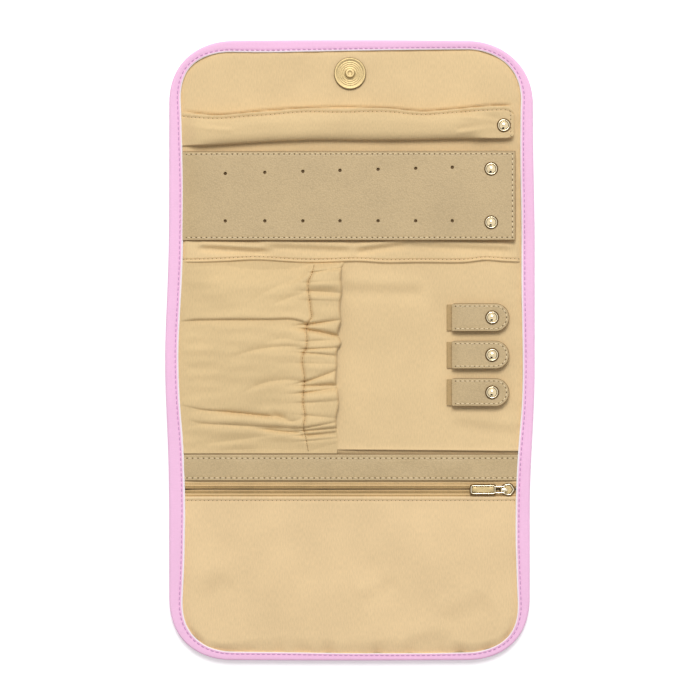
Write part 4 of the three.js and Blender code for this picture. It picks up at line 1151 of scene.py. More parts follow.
def snap_stud(name, body, node):
    """A stud: a rivet flange under the lining, a shank, a flange above it and a ball on top."""
    low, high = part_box(node)
    at = centre_of(node)
    face = lining_level + 0.0007
    shape = [[0, low.z], [0.0025, low.z], [0.0025, low.z + 0.0005], [shank_radius, low.z + 0.0005],
             [shank_radius, lining_level - 0.0002], [0.0040, lining_level - 0.0002],
             [0.0042, lining_level + 0.0002], [0.0040, face - 0.0001], [0.0036, face], [0.0017, face],
             [0.0016, face + 0.0003], [0.0019, face + 0.0007], [0.0018, face + 0.0010],
             [0.0013, high.z - 0.00003], [0, high.z]]
    stud = make(name, turned(shape, at, pale_gold, 40))
    dress_rigid(stud, body, [node])


snap_cap("ring_bar_snap_cap", "ring_bar", "ring_bar_cap")
snap_socket("ring_bar_snap_socket", "ring_bar", "ring_bar_socket")
snap_stud("ring_bar_snap_stud", "upper", "ring_bar_stud")
for row in ("upper", "lower"):
    snap_cap(f"earring_snap_cap_{row}", "earring_panel", f"earring_cap_{row}")
    snap_socket(f"earring_snap_socket_{row}", "earring_panel", f"earring_socket_{row}")
    snap_stud(f"earring_snap_stud_{row}", "upper", f"earring_stud_{row}")


# Gathered pocket
# A wide piece of the lining cloth sewn down at the left, the top and the bottom. A band of elastic in
# a stitched casing draws in its mouth at the right, which ruffles the casing and throws long folds.

# The pocket's cloth is the lining's sateen painted darker, as painted shade on its puffed face.
pocket_sateen_shaded = sateen("pocket_sateen_shaded", (0.735, 0.541, 0.285))
casing_thread = sewing_thread("casing_thread", (0.46, 0.30, 0.13))
pocket_left, pocket_top, pocket_bottom = -0.0972, 0.0508, -0.0582
pocket_rise = 0.0048
pocket_thickness = 0.0003
# The mouth's edge and the casing's stitches in millimetres: place up the roll, and place across it.
mouth_marks = [(-57.5, -7.4), (-51, -6.6), (-45, -7.4), (-37, -7.6), (-31, -6.3), (-22, -7.0), (-17.5, -7.9),
               (-8, -7.3), (0.2, -7.0), (4.2, -5.0), (9, -6.8), (17, -5.0), (23, -5.7), (35, -4.5),
               (41, -5.1), (46, -4.6), (49.5, -3.0)]
casing_marks = [(-58, -23.3), (-49, -24.9), (-44, -26.0), (-37, -25.2), (-31, -26.2), (-16.5, -25.5),
                (-2, -26.0), (1, -24.5), (5, -24.1), (14.8, -23.7), (18, -21.7), (22.5, -22.0), (33, -23.2),
                (38, -23.3), (42, -21.6), (49, -19.9)]


def casing_line(y):
    """The row of stitches that closes the casing, pulled to and fro by the gathers."""
    return curve_through(casing_marks, y)


def mouth_line(y):
    """The mouth's edge, upright and leaning to the right at the top, scalloped between the gathers."""
    return curve_through(mouth_marks, y)


# Each gather in millimetres: its place at the casing's stitches and at the mouth, its depth at both,
# and its spread.
casing_gathers = np.array([
    (43.6, 46.2, 2.0, 2.2, 1.4), (38.0, 39.0, 0.9, 0.7, 1.5), (33.0, 31.8, 1.3, 1.3, 1.8),
    (27.9, 27.2, 0.8, 0.7, 1.5), (14.4, 16.9, 3.6, 1.6, 1.4), (11.4, 7.8, 4.4, 4.2, 1.6),
    (4.9, 5.8, 0.9, 0.9, 1.2), (0.4, 1.2, 2.1, 1.8, 1.2), (-1.7, -3.3, 2.0, 1.7, 1.2),
    (-7.5, -7.9, 0.9, 0.8, 1.5), (-17.8, -11.6, 2.8, 1.7, 1.5), (-20.2, -19.8, 2.2, 3.8, 1.5),
    (-24.0, -21.4, 2.4, 1.9, 1.3), (-29.7, -28.5, 1.5, 1.4, 1.9), (-36.7, -38.4, 1.1, 1.0, 1.6),
    (-43.8, -40.5, 2.0, 1.5, 1.2), (-45.4, -44.0, 2.8, 2.6, 1.2), (-48.0, -46.8, 4.2, 3.9, 1.4),
    (-51.2, -49.5, 1.1, 1.0, 1.3), (-57.0, -53.7, 0.9, 1.2, 1.4),
]) * 0.001
# Each long fold in millimetres: its line, its depth, its spread above and under, and its ridge's share.
pocket_folds = [
    ([(-112, 13.8), (-98, 14.6), (-90, 16.3), (-76, 16.8), (-60, 16.9), (-45, 16.9), (-31, 16.8),
      (-26.3, 15.6), (-21, 13.0)], 2.2, 0.5, 5.0, 0.5),
    ([(-70, -5.0), (-55, -0.4), (-43, 1.6), (-33, 2.0), (-24, 1.2)], 2.0, 2.6, 2.4, 0.5),
    ([(-52, 3.6), (-37, 6.2), (-24, 4.1)], 1.0, 2.4, 2.4, 0.5),
    ([(-64, -26.0), (-54, -20.8), (-46, -18.0), (-37, -16.9), (-24, -17.6)], 2.0, 2.6, 2.4, 0.5),
    ([(-112, -29.5), (-95, -32.0), (-85, -33.5), (-67.5, -35.0), (-53, -36.4), (-41, -37.6)],
     1.7, 0.6, 2.6, 0.3),
    ([(-80, -33.8), (-67.5, -35.0), (-53, -36.4), (-41, -37.6), (-33, -38.6)], 2.2, 3.6, 1.2, 0.2),
    ([(-99, -41.0), (-78, -41.7), (-63.5, -42.4), (-43, -43.6), (-24, -44.2)], 1.6, 1.0, 1.6, 0.4),
    ([(-56, -43.9), (-46, -45.0), (-38, -46.0), (-23, -46.8)], 2.4, 1.2, 1.1, 0.3),
    ([(-60, 25), (-43.5, 34.6), (-30, 40), (-20, 43)], 1.2, 3.4, 2.4, 0.5),
    ([(-46, 24.0), (-33, 29.7), (-22, 33.0)], 1.1, 2.6, 1.8, 0.5),
    ([(-88, -53.0), (-66, -51.0), (-50, -48.6), (-38, -47.6)], 0.9, 3.0, 2.0, 0.4),
    ([(-46, -34.0), (-38, -38.6), (-33, -40.2), (-24, -37.0)], 1.4, 1.6, 1.4, 0.3),
]


def pocket_fold(x, y, marks, depth, above, under, ridge):
    """A long fold along a curved line: a valley that rises again by its own spread above and under the
    line, on a broad ridge that is a share of its depth, fading in and out at both ends."""
    first, last = marks[0][0] * 0.001, marks[-1][0] * 0.001
    off = y - curve_through(marks, np.clip(x, first, last))
    swelling = ridge * bell(off, 0.006)
    off = np.where(off > 0, off / above, -off / under) * 1000
    ends = smooth((x - first) / min(0.4 * (last - first), 0.014)) * smooth((last - x) / 0.008)
    return depth * 0.001 * ends * (swelling - np.exp(0.22 - np.sqrt(off**2 + 0.05)))


def pocket_height(x, y):
    """The pocket's height over the lining: it swells in from three sewn sides, with the long folds left
    of the casing; sharp valleys with round ridges between run across the casing to the mouth."""
    casing, mouth = casing_line(y), mouth_line(y)
    share = (x - casing) / (mouth - casing)
    in_casing = smooth((x - casing) / 0.002)
    toward = smooth(share * 2 + 1)
    from_top, from_low = pocket_top - 0.0012 - y, y - pocket_bottom
    swell = (smooth((x - pocket_left) / 0.034) ** 0.8 * smooth(from_top / (0.016 - 0.010 * toward))
             * smooth(from_low / (0.026 - 0.010 * toward)))
    loose = smooth(from_top / 0.004) * smooth(from_low / 0.008)
    folds = sum(pocket_fold(x, y, *fold) for fold in pocket_folds) * (1 - in_casing)
    gathers = 0
    reach = np.clip(share, -0.35, 1.1)
    for at_stitch, at_mouth, stitch_depth, mouth_depth, spread in casing_gathers:
        pinch = spread * (0.55 + 0.45 * np.clip(1.5 * np.abs(share), 0, 1))
        off = (y - at_stitch - (at_mouth - at_stitch) * signed_power(reach, 1.2)) / pinch
        off = np.where(off > 0, 1.15 * off, 0.75 * off)
        depth = stitch_depth + (mouth_depth - stitch_depth) * np.clip(share, 0, 1)
        depth = depth * np.where(share > 0, 1, np.exp(share / 0.22))
        gathers = gathers - depth * np.exp(0.2 - np.sqrt(off**2 + 0.04))
    groove = 0.0011 * bell(x - casing, 0.0009)
    roll_in = 0.0012 * smooth((share - 0.92) / 0.08) ** 2
    puff = (0.0014 + 0.0006 * undulation(0 * x, y, 0.009, 63)) * np.sin(np.pi * np.clip(share, 0, 1)) ** 0.6
    fine = 0.00018 * undulation(x, y * 2.2, 0.02, 62) + 0.0005 * undulation(x, y * 1.3, 0.05, 64)
    flat = smooth((x - pocket_left) / 0.004)
    height = (pocket_rise * swell + folds * flat * smooth(from_low / 0.006) + fine * flat
              + gathers * loose + (puff - groove) * swell - roll_in)
    return np.maximum(height, 0.00025) - 0.0005 * (1 - flat)


casing_from = 0.78
pocket_v = np.linspace(pocket_bottom, pocket_top, 300)[:, None]
pocket_u = np.unique(np.concatenate([np.linspace(0, 0.74, 66), np.linspace(0.74, 1, 54)]))[None]
body_u = np.clip(pocket_u / casing_from, 0, 1)
casing_u = np.clip((pocket_u - casing_from) / (1 - casing_from), 0, 1)
pocket_x = pocket_left + (casing_line(pocket_v) - pocket_left) * body_u
pocket_x = pocket_x + (mouth_line(pocket_v) - casing_line(pocket_v)) * casing_u
pocket_y = pocket_v + 0 * pocket_x
pocket_z = lining_level + pocket_height(pocket_x, pocket_y)
seam_v = np.linspace(pocket_bottom + 0.0015, pocket_top - 0.003, 300)
seam_u = casing_line(seam_v)
casing_path = np.column_stack([seam_u, seam_v, lining_level + pocket_height(seam_u, seam_v) + 0.00008])
gathered_pocket = make(
    "gathered_pocket_cloth",
    layer(pocket_x, pocket_y, pocket_z, pocket_z - pocket_thickness, pocket_sateen_shaded),
    *sewn_row(casing_path, 0.0022, 0.55, 0.00028, casing_thread, 0.00030, needle_shade),
)
dress_rigid(gathered_pocket, "middle", ["gathered_pocket"])

elastic_web = woven("elastic_web", (0.76, 0.68, 0.54), 0.0008, 0.00018, 0.85)
elastic_y = np.linspace(-0.047, 0.040, 300)[:, None]
elastic_x = casing_line(elastic_y) + 0.0040 + np.linspace(0, 0.0100, 10)[None]
elastic_y = elastic_y + 0 * elastic_x
elastic_rise = np.min([pocket_height(elastic_x, elastic_y + step) for step in (-0.0006, 0, 0.0006)], axis=0)
elastic_z = lining_level + np.maximum(elastic_rise - 0.0008, -0.0003)
pocket_elastic = make("pocket_elastic_band",
                      layer(elastic_x, elastic_y, elastic_z, elastic_z - 0.0005, elastic_web))
dress_rigid(pocket_elastic, "middle", ["pocket_elastic"])


# Chain tabs
# Three strips of tan leather, each folded back over itself and stitched round. The foot is sewn to
# the lining, and the strap closes over a chain with a snap near its round end.

strap_half = 0.0079
strap_seam = 0.0016
shaded_leather = leather("shaded_leather", (0.50, 0.34, 0.155), 0.0009, 0.00007, 0.65)


def strap_piece(number):
    """A strap: square at the fold and round at the end, its edges eased over, with a dent for the snap
    and a stitched groove; it curls down a little at the fold."""
    low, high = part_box(f"tab_strap_{number}")
    mid = (low.y + high.y) / 2
    x_start, x_end = low.x - 0.0004, high.x
    round_from = x_end - strap_half
    cap = centre_of(f"tab_cap_{number}")
    bend = np.linspace(0, np.pi / 2, 22)[1:]
    x = np.concatenate([np.linspace(x_start, round_from, 28), round_from + strap_half * np.sin(bend)])
    half = np.concatenate([np.full(28, strap_half), strap_half * np.cos(bend).clip(0.02)])
    half[0], half[1] = half[0] - 0.0005, half[1] - 0.0001
    share = np.concatenate([[-1, -0.985, -0.955, -0.9], np.linspace(-0.84, 0.84, 15), [0.9, 0.955, 0.985, 1]])
    gx, share = np.meshgrid(x, share)
    gy = mid + half * share

    def strap_inset(x, y):
        """How far a place lies in from the strap's edge."""
        out = np.hypot(np.maximum(x - round_from, 0), y - mid)
        return np.minimum(strap_half - out, x - x_start + 0.0002)

    def strap_top(x, y):
        """The strap's face."""
        inset = strap_inset(x, y)
        eased = 0.0006 * (1 - eased_edge(inset))
        groove = 0.00014 * bell(inset - strap_seam, 0.0005) * smooth((x - x_start - 0.002) / 0.002)
        dent = np.exp(-((np.hypot(x - cap.x, y - cap.y) / 0.0045) ** 4))
        curl = 0.0006 * (1 - smooth((x - x_start) / 0.004))
        wave = 0.00012 * undulation(x, y, 0.02, 70 + number) * (1 - dent)
        return high.z - eased - groove - 0.0002 * dent - curl + wave

    top = strap_top(gx, gy)
    under = np.minimum(low.z - 0.00036 * (1 - smooth((gx - x_start) / 0.004)), top - 0.0004)
    strap = layer(gx, gy, top, under, tan_leather)
    seam_half = strap_half - strap_seam
    straight = np.linspace(x_start + 0.002, round_from, 60)
    turn = np.linspace(0.02, np.pi - 0.02, 60)
    seam_x = np.concatenate([straight, round_from + seam_half * np.sin(turn), straight[::-1]])
    seam_y = np.concatenate([np.full(60, mid - seam_half), mid - seam_half * np.cos(turn),
                             np.full(60, mid + seam_half)])
    path = np.column_stack([seam_x, seam_y, strap_top(seam_x, seam_y) + 0.00006])
    made = make(f"chain_tab_strap_{number}", *edged(strap, strap_inset), *leather_seam(path, 0.0027, 0.00037))
    dress_rigid(made, f"tab_{number}", [f"tab_strap_{number}"])


def foot_piece(number):
    """A foot: a flat tail on the lining that turns up into the strap's fold, as one profile of a strip
    bent upwards, drawn across the tab's width."""
    low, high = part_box(f"tab_base_{number}")
    tail = low.x + 0.0002
    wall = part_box(f"tab_strap_{number}")[0].x
    outer = np.array([
        [tail, 0.0000], [tail + 0.0001, 0.0007], [tail + 0.0005, 0.00095], [wall - 0.0012, 0.0010],
        [wall - 0.0004, 0.0011], [wall + 0.0001, 0.0014], [wall + 0.0003, 0.0019], [wall + 0.0004, 0.0024],
    ])
    inner = np.array([
        [tail + 0.0003, 0.0], [tail + 0.002, 0.0], [wall - 0.001, 0.0], [wall, 0.0],
        [wall + 0.0009, 0.0004], [wall + 0.0014, 0.001], [wall + 0.0016, 0.0018], [wall + 0.0014, 0.0025],
    ])
    y = np.linspace(low.y, high.y, 12)[:, None]
    top, under = [np.dstack(np.broadcast_arrays(strip[:, 0], y, lining_level + strip[:, 1]))
                  for strip in (outer, inner)]
    foot = make(f"chain_tab_foot_{number}", slab(top, under, top[..., :2], shaded_leather))
    dress_rigid(foot, "middle", [f"tab_base_{number}"])


for number in (1, 2, 3):
    strap_piece(number)
    foot_piece(number)
    snap_cap(f"chain_tab_cap_{number}", f"tab_{number}", f"tab_cap_{number}")
    snap_socket(f"chain_tab_socket_{number}", f"tab_{number}", f"tab_socket_{number}")
    snap_stud(f"chain_tab_stud_{number}", "middle", f"tab_stud_{number}")


# Zip pocket
# A coil zip between a band of tan leather above and the pocket's cloth front below. The tapes are
# woven, the coils are brown nylon, and the front's top edge is turned in and stitched to the tape.

zip_y = (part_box("zip_coil_upper")[0].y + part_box("zip_coil_lower")[1].y) / 2
zip_tape = woven("zip_tape", (0.80, 0.58, 0.30), 0.0006, 0.00012, 0.8)
zip_coil = woven("zip_coil_nylon", (0.66, 0.45, 0.20), 0.0005, 0.00008, 0.5, 0.0, 0.2)
# Painted shade: a brown stripe that stands for the shadow in the ditch beside the lip and the band.
tape_stripe_shade = woven("tape_stripe_shade", (0.60, 0.40, 0.18), 0.0005, 0.00008, 0.7, 0.0, 0.2)
coil_seam = woven("coil_seam", (0.16, 0.085, 0.025), 0.0005, 0.00008, 0.7, 0.0, 0.2)
zip_end_inset = 0.0035
coil_seam_half = 0.0002
coil_pitch = 0.0013
stripe_across = np.array([-0.0003, -0.0001, 0.0001, 0.0003])
stripe_rise = np.array([[-0.0002], [0.00005], [0.00005], [-0.0002]])


def tape_piece(name, node, stripe_at):
    """A zip tape: a flat woven strip with slight ridges along it, and one raised brown stripe of painted
    shade.
    """
    low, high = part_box(node)
    left, right = limits((low.y + high.y) / 2, zip_end_inset)
    x, y = np.meshgrid(np.linspace(left, right, 120), np.linspace(low.y, high.y, 20))
    share = (y - low.y) / (high.y - low.y)
    ridge = 0.00012 * np.cos(2 * np.pi * share * 4)
    top = high.z - 0.00012 + ridge - 0.0001 * (1 + 0.3 * undulation(x, y, 0.03, 81))
    stripe_x, stripe_y = np.meshgrid(np.linspace(left, right, 60), stripe_at + stripe_across)
    stripe_z = high.z + stripe_rise
    tape = make(name, layer(x, y, top, low.z, zip_tape),
                layer(stripe_x, stripe_y, stripe_z, stripe_z - 0.0001, tape_stripe_shade))
    dress_rigid(tape, "lower", [node])


def coil_piece(name, node):
    """A zip coil: a round ridge whose height ripples once for each turn of the coil, with the brown
    thread that sews it down along its crown."""
    low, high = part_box(node)
    mid_y, mid_z = (low.y + high.y) / 2, (low.z + high.z) / 2
    half_y, half_z = (high.y - low.y) / 2, (high.z - low.z) / 2
    left, right = limits(mid_y, zip_end_inset)
    x, turn = np.meshgrid(np.linspace(left, right, 900), np.linspace(0, 2 * np.pi, 20, endpoint=False))
    ripple = 0.86 + 0.14 * np.abs(np.sin(np.pi * x / coil_pitch))
    y = mid_y + half_y * np.cos(turn) * (0.9 + 0.1 * ripple)
    z = mid_z + half_z * np.sin(turn) * ripple
    points = np.dstack([x, y, z]).transpose(1, 0, 2)
    layout = np.dstack([x, turn * 0.0008]).transpose(1, 0, 2)
    tips = points[[0, -1]].mean(axis=1, keepdims=True).repeat(20, axis=1)
    points = np.concatenate([tips[:1], points, tips[1:]])
    layout = np.concatenate([layout[:1], layout, layout[-1:]])
    points, quads, layout, _ = skin(points, layout, zip_coil, wrap=True)
    middle = points[quads].mean(axis=1)
    crown = (np.abs(middle[:, 1] - mid_y) < coil_seam_half) & (middle[:, 2] > mid_z)
    coil = make(name, (points, quads[~crown], layout, zip_coil), (points, quads[crown], layout, coil_seam))
    dress_rigid(coil, "lower", [node])


tape_piece("zip_tape_above", "zip_tape_upper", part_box("zip_tape_upper")[0].y + 0.0008)
tape_piece("zip_tape_below", "zip_tape_lower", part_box("zip_tape_lower")[1].y - 0.0011)
coil_piece("zip_coil_above", "zip_coil_upper")
coil_piece("zip_coil_below", "zip_coil_lower")

band_low, band_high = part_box("leather_band")
band_left, band_right = limits((band_low.y + band_high.y) / 2, zip_end_inset)
band_edges = np.array([0, 0.05, 0.2, 0.4, 0.7, 1.1, 1.5, 1.8, 2.1, 2.5]) * 0.001
band_lines = np.concatenate([
    band_low.y + band_edges,
    np.linspace(band_low.y + 0.0035, band_high.y - 0.0035, 8),
    (band_high.y - band_edges)[::-1],
])
band_x, band_y = np.meshgrid(np.linspace(band_left, band_right, 220), band_lines)
band_rows = (band_high.y - 0.0024, band_low.y + 0.0017)


def band_inset(x, y):
    """How far a place lies in from the band's two long edges."""
    return np.minimum(band_high.y - y, y - band_low.y) + 0 * x


def band_top(x, y):
    """The leather band's face: eased over along both edges, pressed in along its two seams, and drawn
    down where it goes under the binding."""
    eased = 0.0006 * (1 - eased_edge(band_inset(x, y)))
    groove = 0.00014 * sum(bell(y - row, 0.0005) for row in band_rows)
    tuck = 0.0009 * np.exp(-np.clip(from_sides(x, y, 0.0085), 0, 1) / 0.004)
    across = np.sin(np.pi * (y - band_low.y) / (band_high.y - band_low.y))
    puff = 0.00025 * across * undulation(x, 0 * y, 0.045, 82)
    return band_high.z - eased - groove - tuck + puff


def band_seam(row):
    """A row of stitches along the band's face at a height y."""
    x = np.linspace(band_left + 0.004, band_right - 0.0035, 400)
    y = np.full(400, row)
    return leather_seam(np.column_stack([x, y, band_top(x, y) + 0.00006]), 0.0031, 0.00041)


band_face = np.maximum(band_top(band_x, band_y), band_low.z + 0.0002)
band_part = layer(band_x, band_y, band_face, band_low.z, tan_leather)
leather_band = make("leather_band_over_zip", *edged(band_part, band_inset),
                    *band_seam(band_rows[0]), *band_seam(band_rows[1]))
dress_rigid(leather_band, "lower", ["leather_band"])

front_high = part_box("zip_pocket_front")[1]
front_lip = front_high.y + 0.0006
front_seam_in = 0.0024
# The front's cloth is the lining's sateen painted a little lighter, as painted light on its face.
front_sateen_lit = sateen("front_sateen_lit", (0.825, 0.607, 0.338))
# How far in from the bottom edge the front begins to fall, in millimetres: place across, and length.
drop_marks = [(-99, 4), (-85, 4), (-68, 5.5), (-54, 8), (-45, 8.5), (-37, 10.5), (-29, 9.5), (-21, 7.5),
              (-14, 9), (-7, 7), (1, 9), (10, 7.5), (19, 9.5), (30, 9), (40, 12), (50, 11), (62, 7),
              (75, 5), (99, 4)]
# Each slack dip: its two ends, its depth and its spread.
front_dips = [
    ((-0.092, -0.140), (-0.070, -0.126), 0.0006, 0.008),
    ((-0.030, -0.135), (0.016, -0.130), -0.0005, 0.012),
    ((0.006, -0.140), (0.024, -0.128), 0.0005, 0.007),
    ((0.052, -0.150), (0.076, -0.138), 0.0005, 0.008),
    ((0.034, -0.164), (0.058, -0.160), 0.0006, 0.006),
    ((-0.075, -0.105), (-0.020, -0.100), 0.0005, 0.012),
]


def front_height(x, y):
    """The pocket front's height: a turned lip along the zip, a face that puffs up a little with a few
    slack dips, and an edge drawn down to the binding's seam. Along the bottom it falls over a length
    that varies, which makes wrinkles; along the sides it falls as a decaying curve."""
    near = edge_distance(x, y)
    at_bottom = smooth((roll_bottom + 0.03 - y) / 0.02)
    fall = np.clip(1 - near / curve_through(drop_marks, x), 0, 1) ** 1.6
    fall = fall * (1 + 0.3 * undulation(x, 0 * y, 0.010, 95))
    side = undulation(0 * x, y, 0.016, 93) * np.exp(-near / 0.006) * (1 - at_bottom)
    lip = 0.0004 * bell(front_lip - 0.0012 - y, 0.0010)
    groove = 0.00025 * bell(front_lip - front_seam_in - y, 0.0006)
    edge = 0.0005 * smooth((y - front_lip + 0.0004) / 0.0004)
    body = smooth((front_lip - y) / 0.04)
    dips = sum(crease(x, y, *dip) for dip in front_dips) * smooth(near / 0.010)
    slow = (0.0004 * undulation(x, y, 0.06, 94) + dips) * body * smooth(near / 0.02)
    drawn = (0.0009 + 0.0010 * body) * np.exp(-near / 0.003) * (1 - at_bottom) + 0.0024 * fall * at_bottom
    return front_high.z + 0.0001 + 0.0010 * body - drawn + 0.00016 * side + lip - groove - edge + slow


front_lines = np.unique(np.concatenate([
    np.linspace(roll_bottom + 0.0040, front_lip, 120), np.linspace(front_lip - 0.005, front_lip, 26)]))
front_x, front_y = cloth_grid(front_lines, 180, 0.0030)
front_z = front_height(front_x, front_y)
front_seam_x = np.linspace(-0.0915, 0.0925, 400)
front_seam_y = np.full(400, front_lip - front_seam_in)
front_seam_z = front_height(front_seam_x[None], front_seam_y[None])[0] + 0.00006
front_seam = np.column_stack([front_seam_x, front_seam_y, front_seam_z])
pocket_front = make(
    "zip_pocket_front_cloth",
    layer(front_x, front_y, front_z, front_z - pocket_thickness, front_sateen_lit),
    *lining_seam(front_seam, 0.0024, 0.00024, 0.00030),
)
dress_rigid(pocket_front, "lower", ["zip_pocket_front"])


# Zip slider and pull
# A cast slider in pale gold plating, with two plates round the coils and an arched bail. The pull is a
# plain stamped plate with a raised rim, whose arms and cross bar hang in the bail.

slider_low, slider_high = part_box("zip_slider_body")
plate_thickness = 0.0009
plate_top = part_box("zip_coil_upper")[1].z + 0.00015 + plate_thickness


def slider_outline(inset):
    """The slider's outline drawn in by an inset, counterclockwise: narrow at the tail, wide at the
    shoulders and blunt at the nose."""
    t = np.linspace(0, 1, 60)
    x = slider_low.x + inset + (slider_high.x - slider_low.x - 2 * inset) * t
    half = 0.0021 - inset + 0.00155 * smooth(t / 0.55) - 0.0022 * smooth((t - 0.62) / 0.38) ** 2
    half = half * np.sqrt(np.clip(1 - ((t - 0.5) / 0.5) ** 12, 0.0004, 1))
    loop = np.concatenate([np.column_stack([x, zip_y - half]), np.column_stack([x, zip_y + half])[::-1]])
    return evenly(np.concatenate([loop, loop[:1]]), 65)[:-1]


def plate(outline, z_low, z_high, ease, material):
    """A flat plate in an outline: rings of it at the lower middle, both eased edges and the upper
    middle."""
    middle = outline.mean(axis=0)
    shrink = np.array([0, 0.5, 0.97, 1, 1, 0.97, 0.5, 0])[:, None, None]
    z = np.array([z_low, z_low, z_low, z_low + ease, z_high - ease, z_high, z_high, z_high])
    rings = middle + (outline - middle)[None] * shrink
    points = np.dstack([rings, np.repeat(z[:, None], len(outline), axis=1)])
    return skin(points, points[..., :2], material, wrap=True)


def raised_rim(outline, z, width, height, material):
    """A rounded rim: an ellipse of a width and a height carried round a closed outline."""
    along = np.roll(outline, -1, axis=0) - np.roll(outline, 1, axis=0)
    along /= np.linalg.norm(along, axis=1, keepdims=True)
    inward = np.stack([-along[:, 1], along[:, 0]], axis=1)
    turn = np.linspace(0, 2 * np.pi, 12, endpoint=False)
    flat = outline[:, None] + inward[:, None] * (np.cos(turn) * width / 2)[None, :, None]
    points = np.dstack([flat, np.broadcast_to(z + np.sin(turn) * height / 2, flat.shape[:2])])
    points = np.concatenate([points, points[:1]])
    return skin(points, points[..., :2], material, wrap=True)


def arch(x_low, x_high, z_low, z_high, width, bar):
    """The bail: a rounded square section carried along an arch that is a superellipse from tail to
    nose."""
    t = np.linspace(0, np.pi, 36)[:, None]
    mid, reach = (x_low + x_high) / 2, (x_high - x_low - bar) / 2
    x = mid - reach * signed_power(np.cos(t), 0.45)
    z = z_low + (z_high - z_low - bar / 2) * np.sin(t) ** 0.45
    along = np.gradient(np.column_stack([x[:, 0], z[:, 0]]), axis=0)
    along /= np.linalg.norm(along, axis=1, keepdims=True)
    turn = np.linspace(0, 2 * np.pi, 20, endpoint=False)[None]
    side = signed_power(np.cos(turn), 0.6) * width / 2
    out = signed_power(np.sin(turn), 0.7) * bar / 2
    points = np.dstack([x - out * along[:, 1:], zip_y + side + 0 * x, z + out * along[:, :1]])
    layout = np.dstack(np.broadcast_arrays(t * 0.002, turn * 0.001))
    return skin(points, layout, pale_gold, wrap=True)


bail_low_x = slider_low.x + 0.0005
bail_span = 0.0042
rim_in, face_in = 0.0008, 0.0014
wedge_x, wedge_y = np.meshgrid(np.linspace(slider_high.x - 0.004, slider_high.x - 0.001, 6),
                               zip_y + np.array([-0.0003, 0.0003]))
# The slider's base plates are in painted shade, peeking out round the rim as a dark outline.
zip_slider = make(
    "zip_slider",
    plate(slider_outline(0), plate_top - plate_thickness, plate_top - 0.0002, 0.0002, painted_shade_gold),
    raised_rim(slider_outline(rim_in), plate_top - 0.0003, 0.0007, 0.0006, pale_gold),
    plate(slider_outline(face_in), plate_top - 0.0006, plate_top - 0.0001, 0.0001, soft_gold),
    plate(slider_outline(0), slider_low.z, slider_low.z + plate_thickness, 0.0003, painted_shade_gold),
    layer(wedge_x, wedge_y, plate_top - 0.0003, slider_low.z + 0.0003, pale_gold),
    arch(bail_low_x, bail_low_x + bail_span, plate_top - 0.0003, slider_high.z, 0.0016, 0.0008),
)
dress_rigid(zip_slider, "zip_slider", ["zip_slider_body"])

pull_low, pull_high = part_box("zip_pull")
pull_plate_right = pull_low.x + 0.015
pull_z = (pull_low.z + pull_high.z) / 2
pull_half = (pull_high.y - pull_low.y) / 2


def pull_outline(inset):
    """The pull's outline drawn in by an inset, counterclockwise: a rectangle with rounded corners, as a
    superellipse."""
    turn = np.linspace(0, 2 * np.pi, 400)
    mid, reach = (pull_low.x + pull_plate_right) / 2, (pull_plate_right - pull_low.x) / 2 - inset
    x = mid + reach * signed_power(np.cos(turn), 0.16)
    y = zip_y + (pull_half - inset) * signed_power(np.sin(turn), 0.34)
    return evenly(np.column_stack([x, y]), 65)[:-1]


def rod(start, end, radius, material):
    """A round bar between two points: rings of twelve points, drawn in and closed at both ends."""
    start, end = np.array(start, float), np.array(end, float)
    along = (end - start) / np.linalg.norm(end - start)
    side = np.cross(along, (0, 0, 1.0))
    side /= np.linalg.norm(side)
    up = np.cross(side, along)
    at = np.array([0, 0, 0.04, 0.12, 0.88, 0.96, 1, 1])[:, None]
    girth = np.array([0, 0.7, 0.93, 1, 1, 0.93, 0.7, 0])[:, None, None] * radius
    turn = np.linspace(0, 2 * np.pi, 12, endpoint=False)
    ring = np.cos(turn)[:, None] * side + np.sin(turn)[:, None] * up
    points = (start + (end - start) * at)[:, None] + ring[None] * girth
    layout = np.dstack(np.broadcast_arrays(at * 0.004, turn[None] * radius))
    return skin(points, layout, material, wrap=True)


pivot_x = bail_low_x + bail_span / 2
arm_from, arm_to = pull_plate_right - 0.0008, pivot_x + 0.0004
pull_arms = [rod((arm_from, zip_y + side, pull_z), (arm_to, zip_y + side, pull_z), 0.00048, pale_gold)
             for side in (-0.0017, 0.0017)]
# The pull's base plate is in painted shade, peeking out round the rim as a dark outline.
zip_pull = make(
    "zip_pull_plate",
    plate(pull_outline(0), pull_low.z + 0.0002, pull_high.z - 0.0002, 0.0002, painted_shade_gold),
    raised_rim(pull_outline(rim_in), pull_z, 0.0007, pull_high.z - pull_low.z, pale_gold),
    plate(pull_outline(face_in), pull_low.z + 0.0001, pull_high.z - 0.0001, 0.0001, soft_gold),
    *pull_arms,
    rod((pivot_x, zip_y - 0.0019, pull_z), (pivot_x, zip_y + 0.0019, pull_z), 0.00045, pale_gold),
)
dress_rigid(zip_pull, "zip_pull", ["zip_pull"])


# Table, light and camera
# The roll lies open on a white table under a large soft lamp above its top end, in a bright room. Two
# cards hung well above it give the metal something to mirror. The camera looks straight down.


def bright_room(tree):
    """1 for rays from the camera, a mirror or glass, which see the bare white, and 0 for the rest."""
    path = tree.nodes.new("ShaderNodeLightPath").outputs
    seen = calculate(tree, "MAXIMUM", path["Is Camera Ray"], path["Is Glossy Ray"])
    return calculate(tree, "MAXIMUM", seen, path["Is Transmission Ray"])


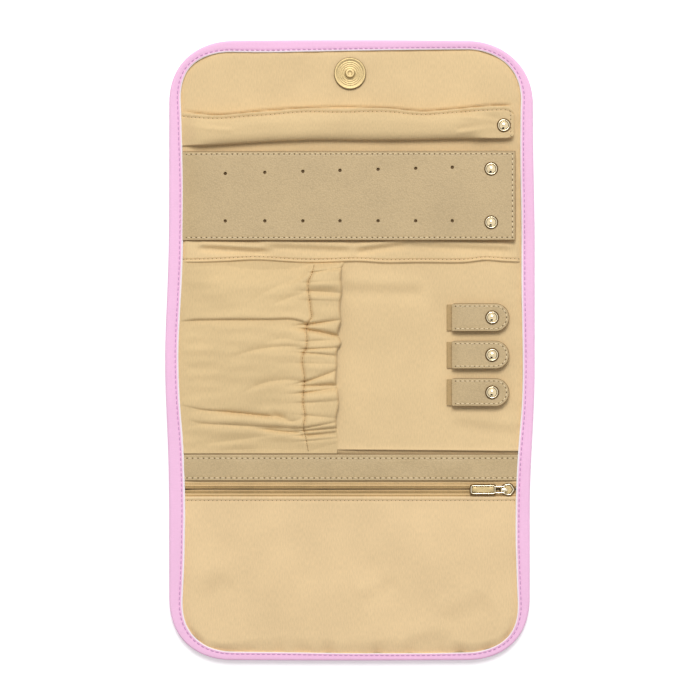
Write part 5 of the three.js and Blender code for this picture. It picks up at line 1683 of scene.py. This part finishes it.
table_half = 3.0
table_z = -0.0003
table_mesh = bpy.data.meshes.new("table")
table_corners = [(x * table_half, y * table_half, table_z) for x, y in ((-1, -1), (1, -1), (1, 1), (-1, 1))]
table_mesh.from_pydata(table_corners, [], [(0, 1, 2, 3)])
table = bpy.data.objects.new("table", table_mesh)
bpy.context.scene.collection.objects.link(table)
white_table, table_tree, table_shader = new_finish("white_table")
table_shader.inputs["Base Color"].default_value = (0.93, 0.93, 0.93, 1)
table_shader.inputs["Roughness"].default_value = 0.9
table_shader.inputs["Specular IOR Level"].default_value = 0
table_shader.inputs["Emission Color"].default_value = (1, 1, 1, 1)
glow = calculate(table_tree, "MULTIPLY", bright_room(table_tree), 0.28)
table_tree.links.new(glow, table_shader.inputs["Emission Strength"])
table_mesh.materials.append(white_table)

dark_card = woven("dark_card", (0.012, 0.012, 0.012), 0.002, 0.0001, 0.9, 0.0)
grey_card = woven("grey_card", (0.22, 0.20, 0.17), 0.002, 0.0001, 0.9, 0.0)


def hung_card(name, corner, opposite, material):
    """A card hung in the room, slanting from one corner to the opposite one."""
    (x0, y0, z0), (x1, y1, z1) = corner, opposite
    points = np.array([[(x0, y0, z0), (x1, y0, z0)], [(x0, y1, z1), (x1, y1, z1)]])
    card = make(name, skin(points, points[..., :2], material))


hung_card("lower_card", (-1.0, -1.15, 2.1), (0.5, -2.05, 1.2), dark_card)
hung_card("upper_card", (-0.85, -0.1, 2.1), (-0.35, 0.35, 2.1), grey_card)

room = bpy.data.worlds.new("white_room")
room.use_nodes = True
bpy.context.scene.world = room
room_tree = room.node_tree
room_light = room_tree.nodes["Background"]
room_light.inputs["Color"].default_value = (1, 1, 1, 1)
room_strength = calculate(room_tree, "MULTIPLY", bright_room(room_tree), 0.52)
room_strength = calculate(room_tree, "ADD", room_strength, 0.48)
room_tree.links.new(room_strength, room_light.inputs["Strength"])


def lamp(name, place, size, power):
    """A square lamp that faces the middle of the table."""
    data = bpy.data.lights.new(name, "AREA")
    data.size = size
    data.energy = power
    made = bpy.data.objects.new(name, data)
    bpy.context.scene.collection.objects.link(made)
    made.location = place
    away = made.location.normalized()
    made.rotation_mode = "QUATERNION"
    made.rotation_quaternion = away.to_track_quat("Z", "Y")


lamp("window_lamp", (0.0, 2.0, 3.6), 1.6, 118)

view_width = 0.39375
view_height = 1.4
camera_data = bpy.data.cameras.new("camera")
camera_data.sensor_width = 36
camera_data.lens = camera_data.sensor_width * view_height / view_width
camera = bpy.data.objects.new("camera", camera_data)
bpy.context.scene.collection.objects.link(camera)
camera.location = (0, 0, lining_level + view_height)
bpy.context.scene.camera = camera
bpy.context.scene.view_settings.view_transform = "Standard"
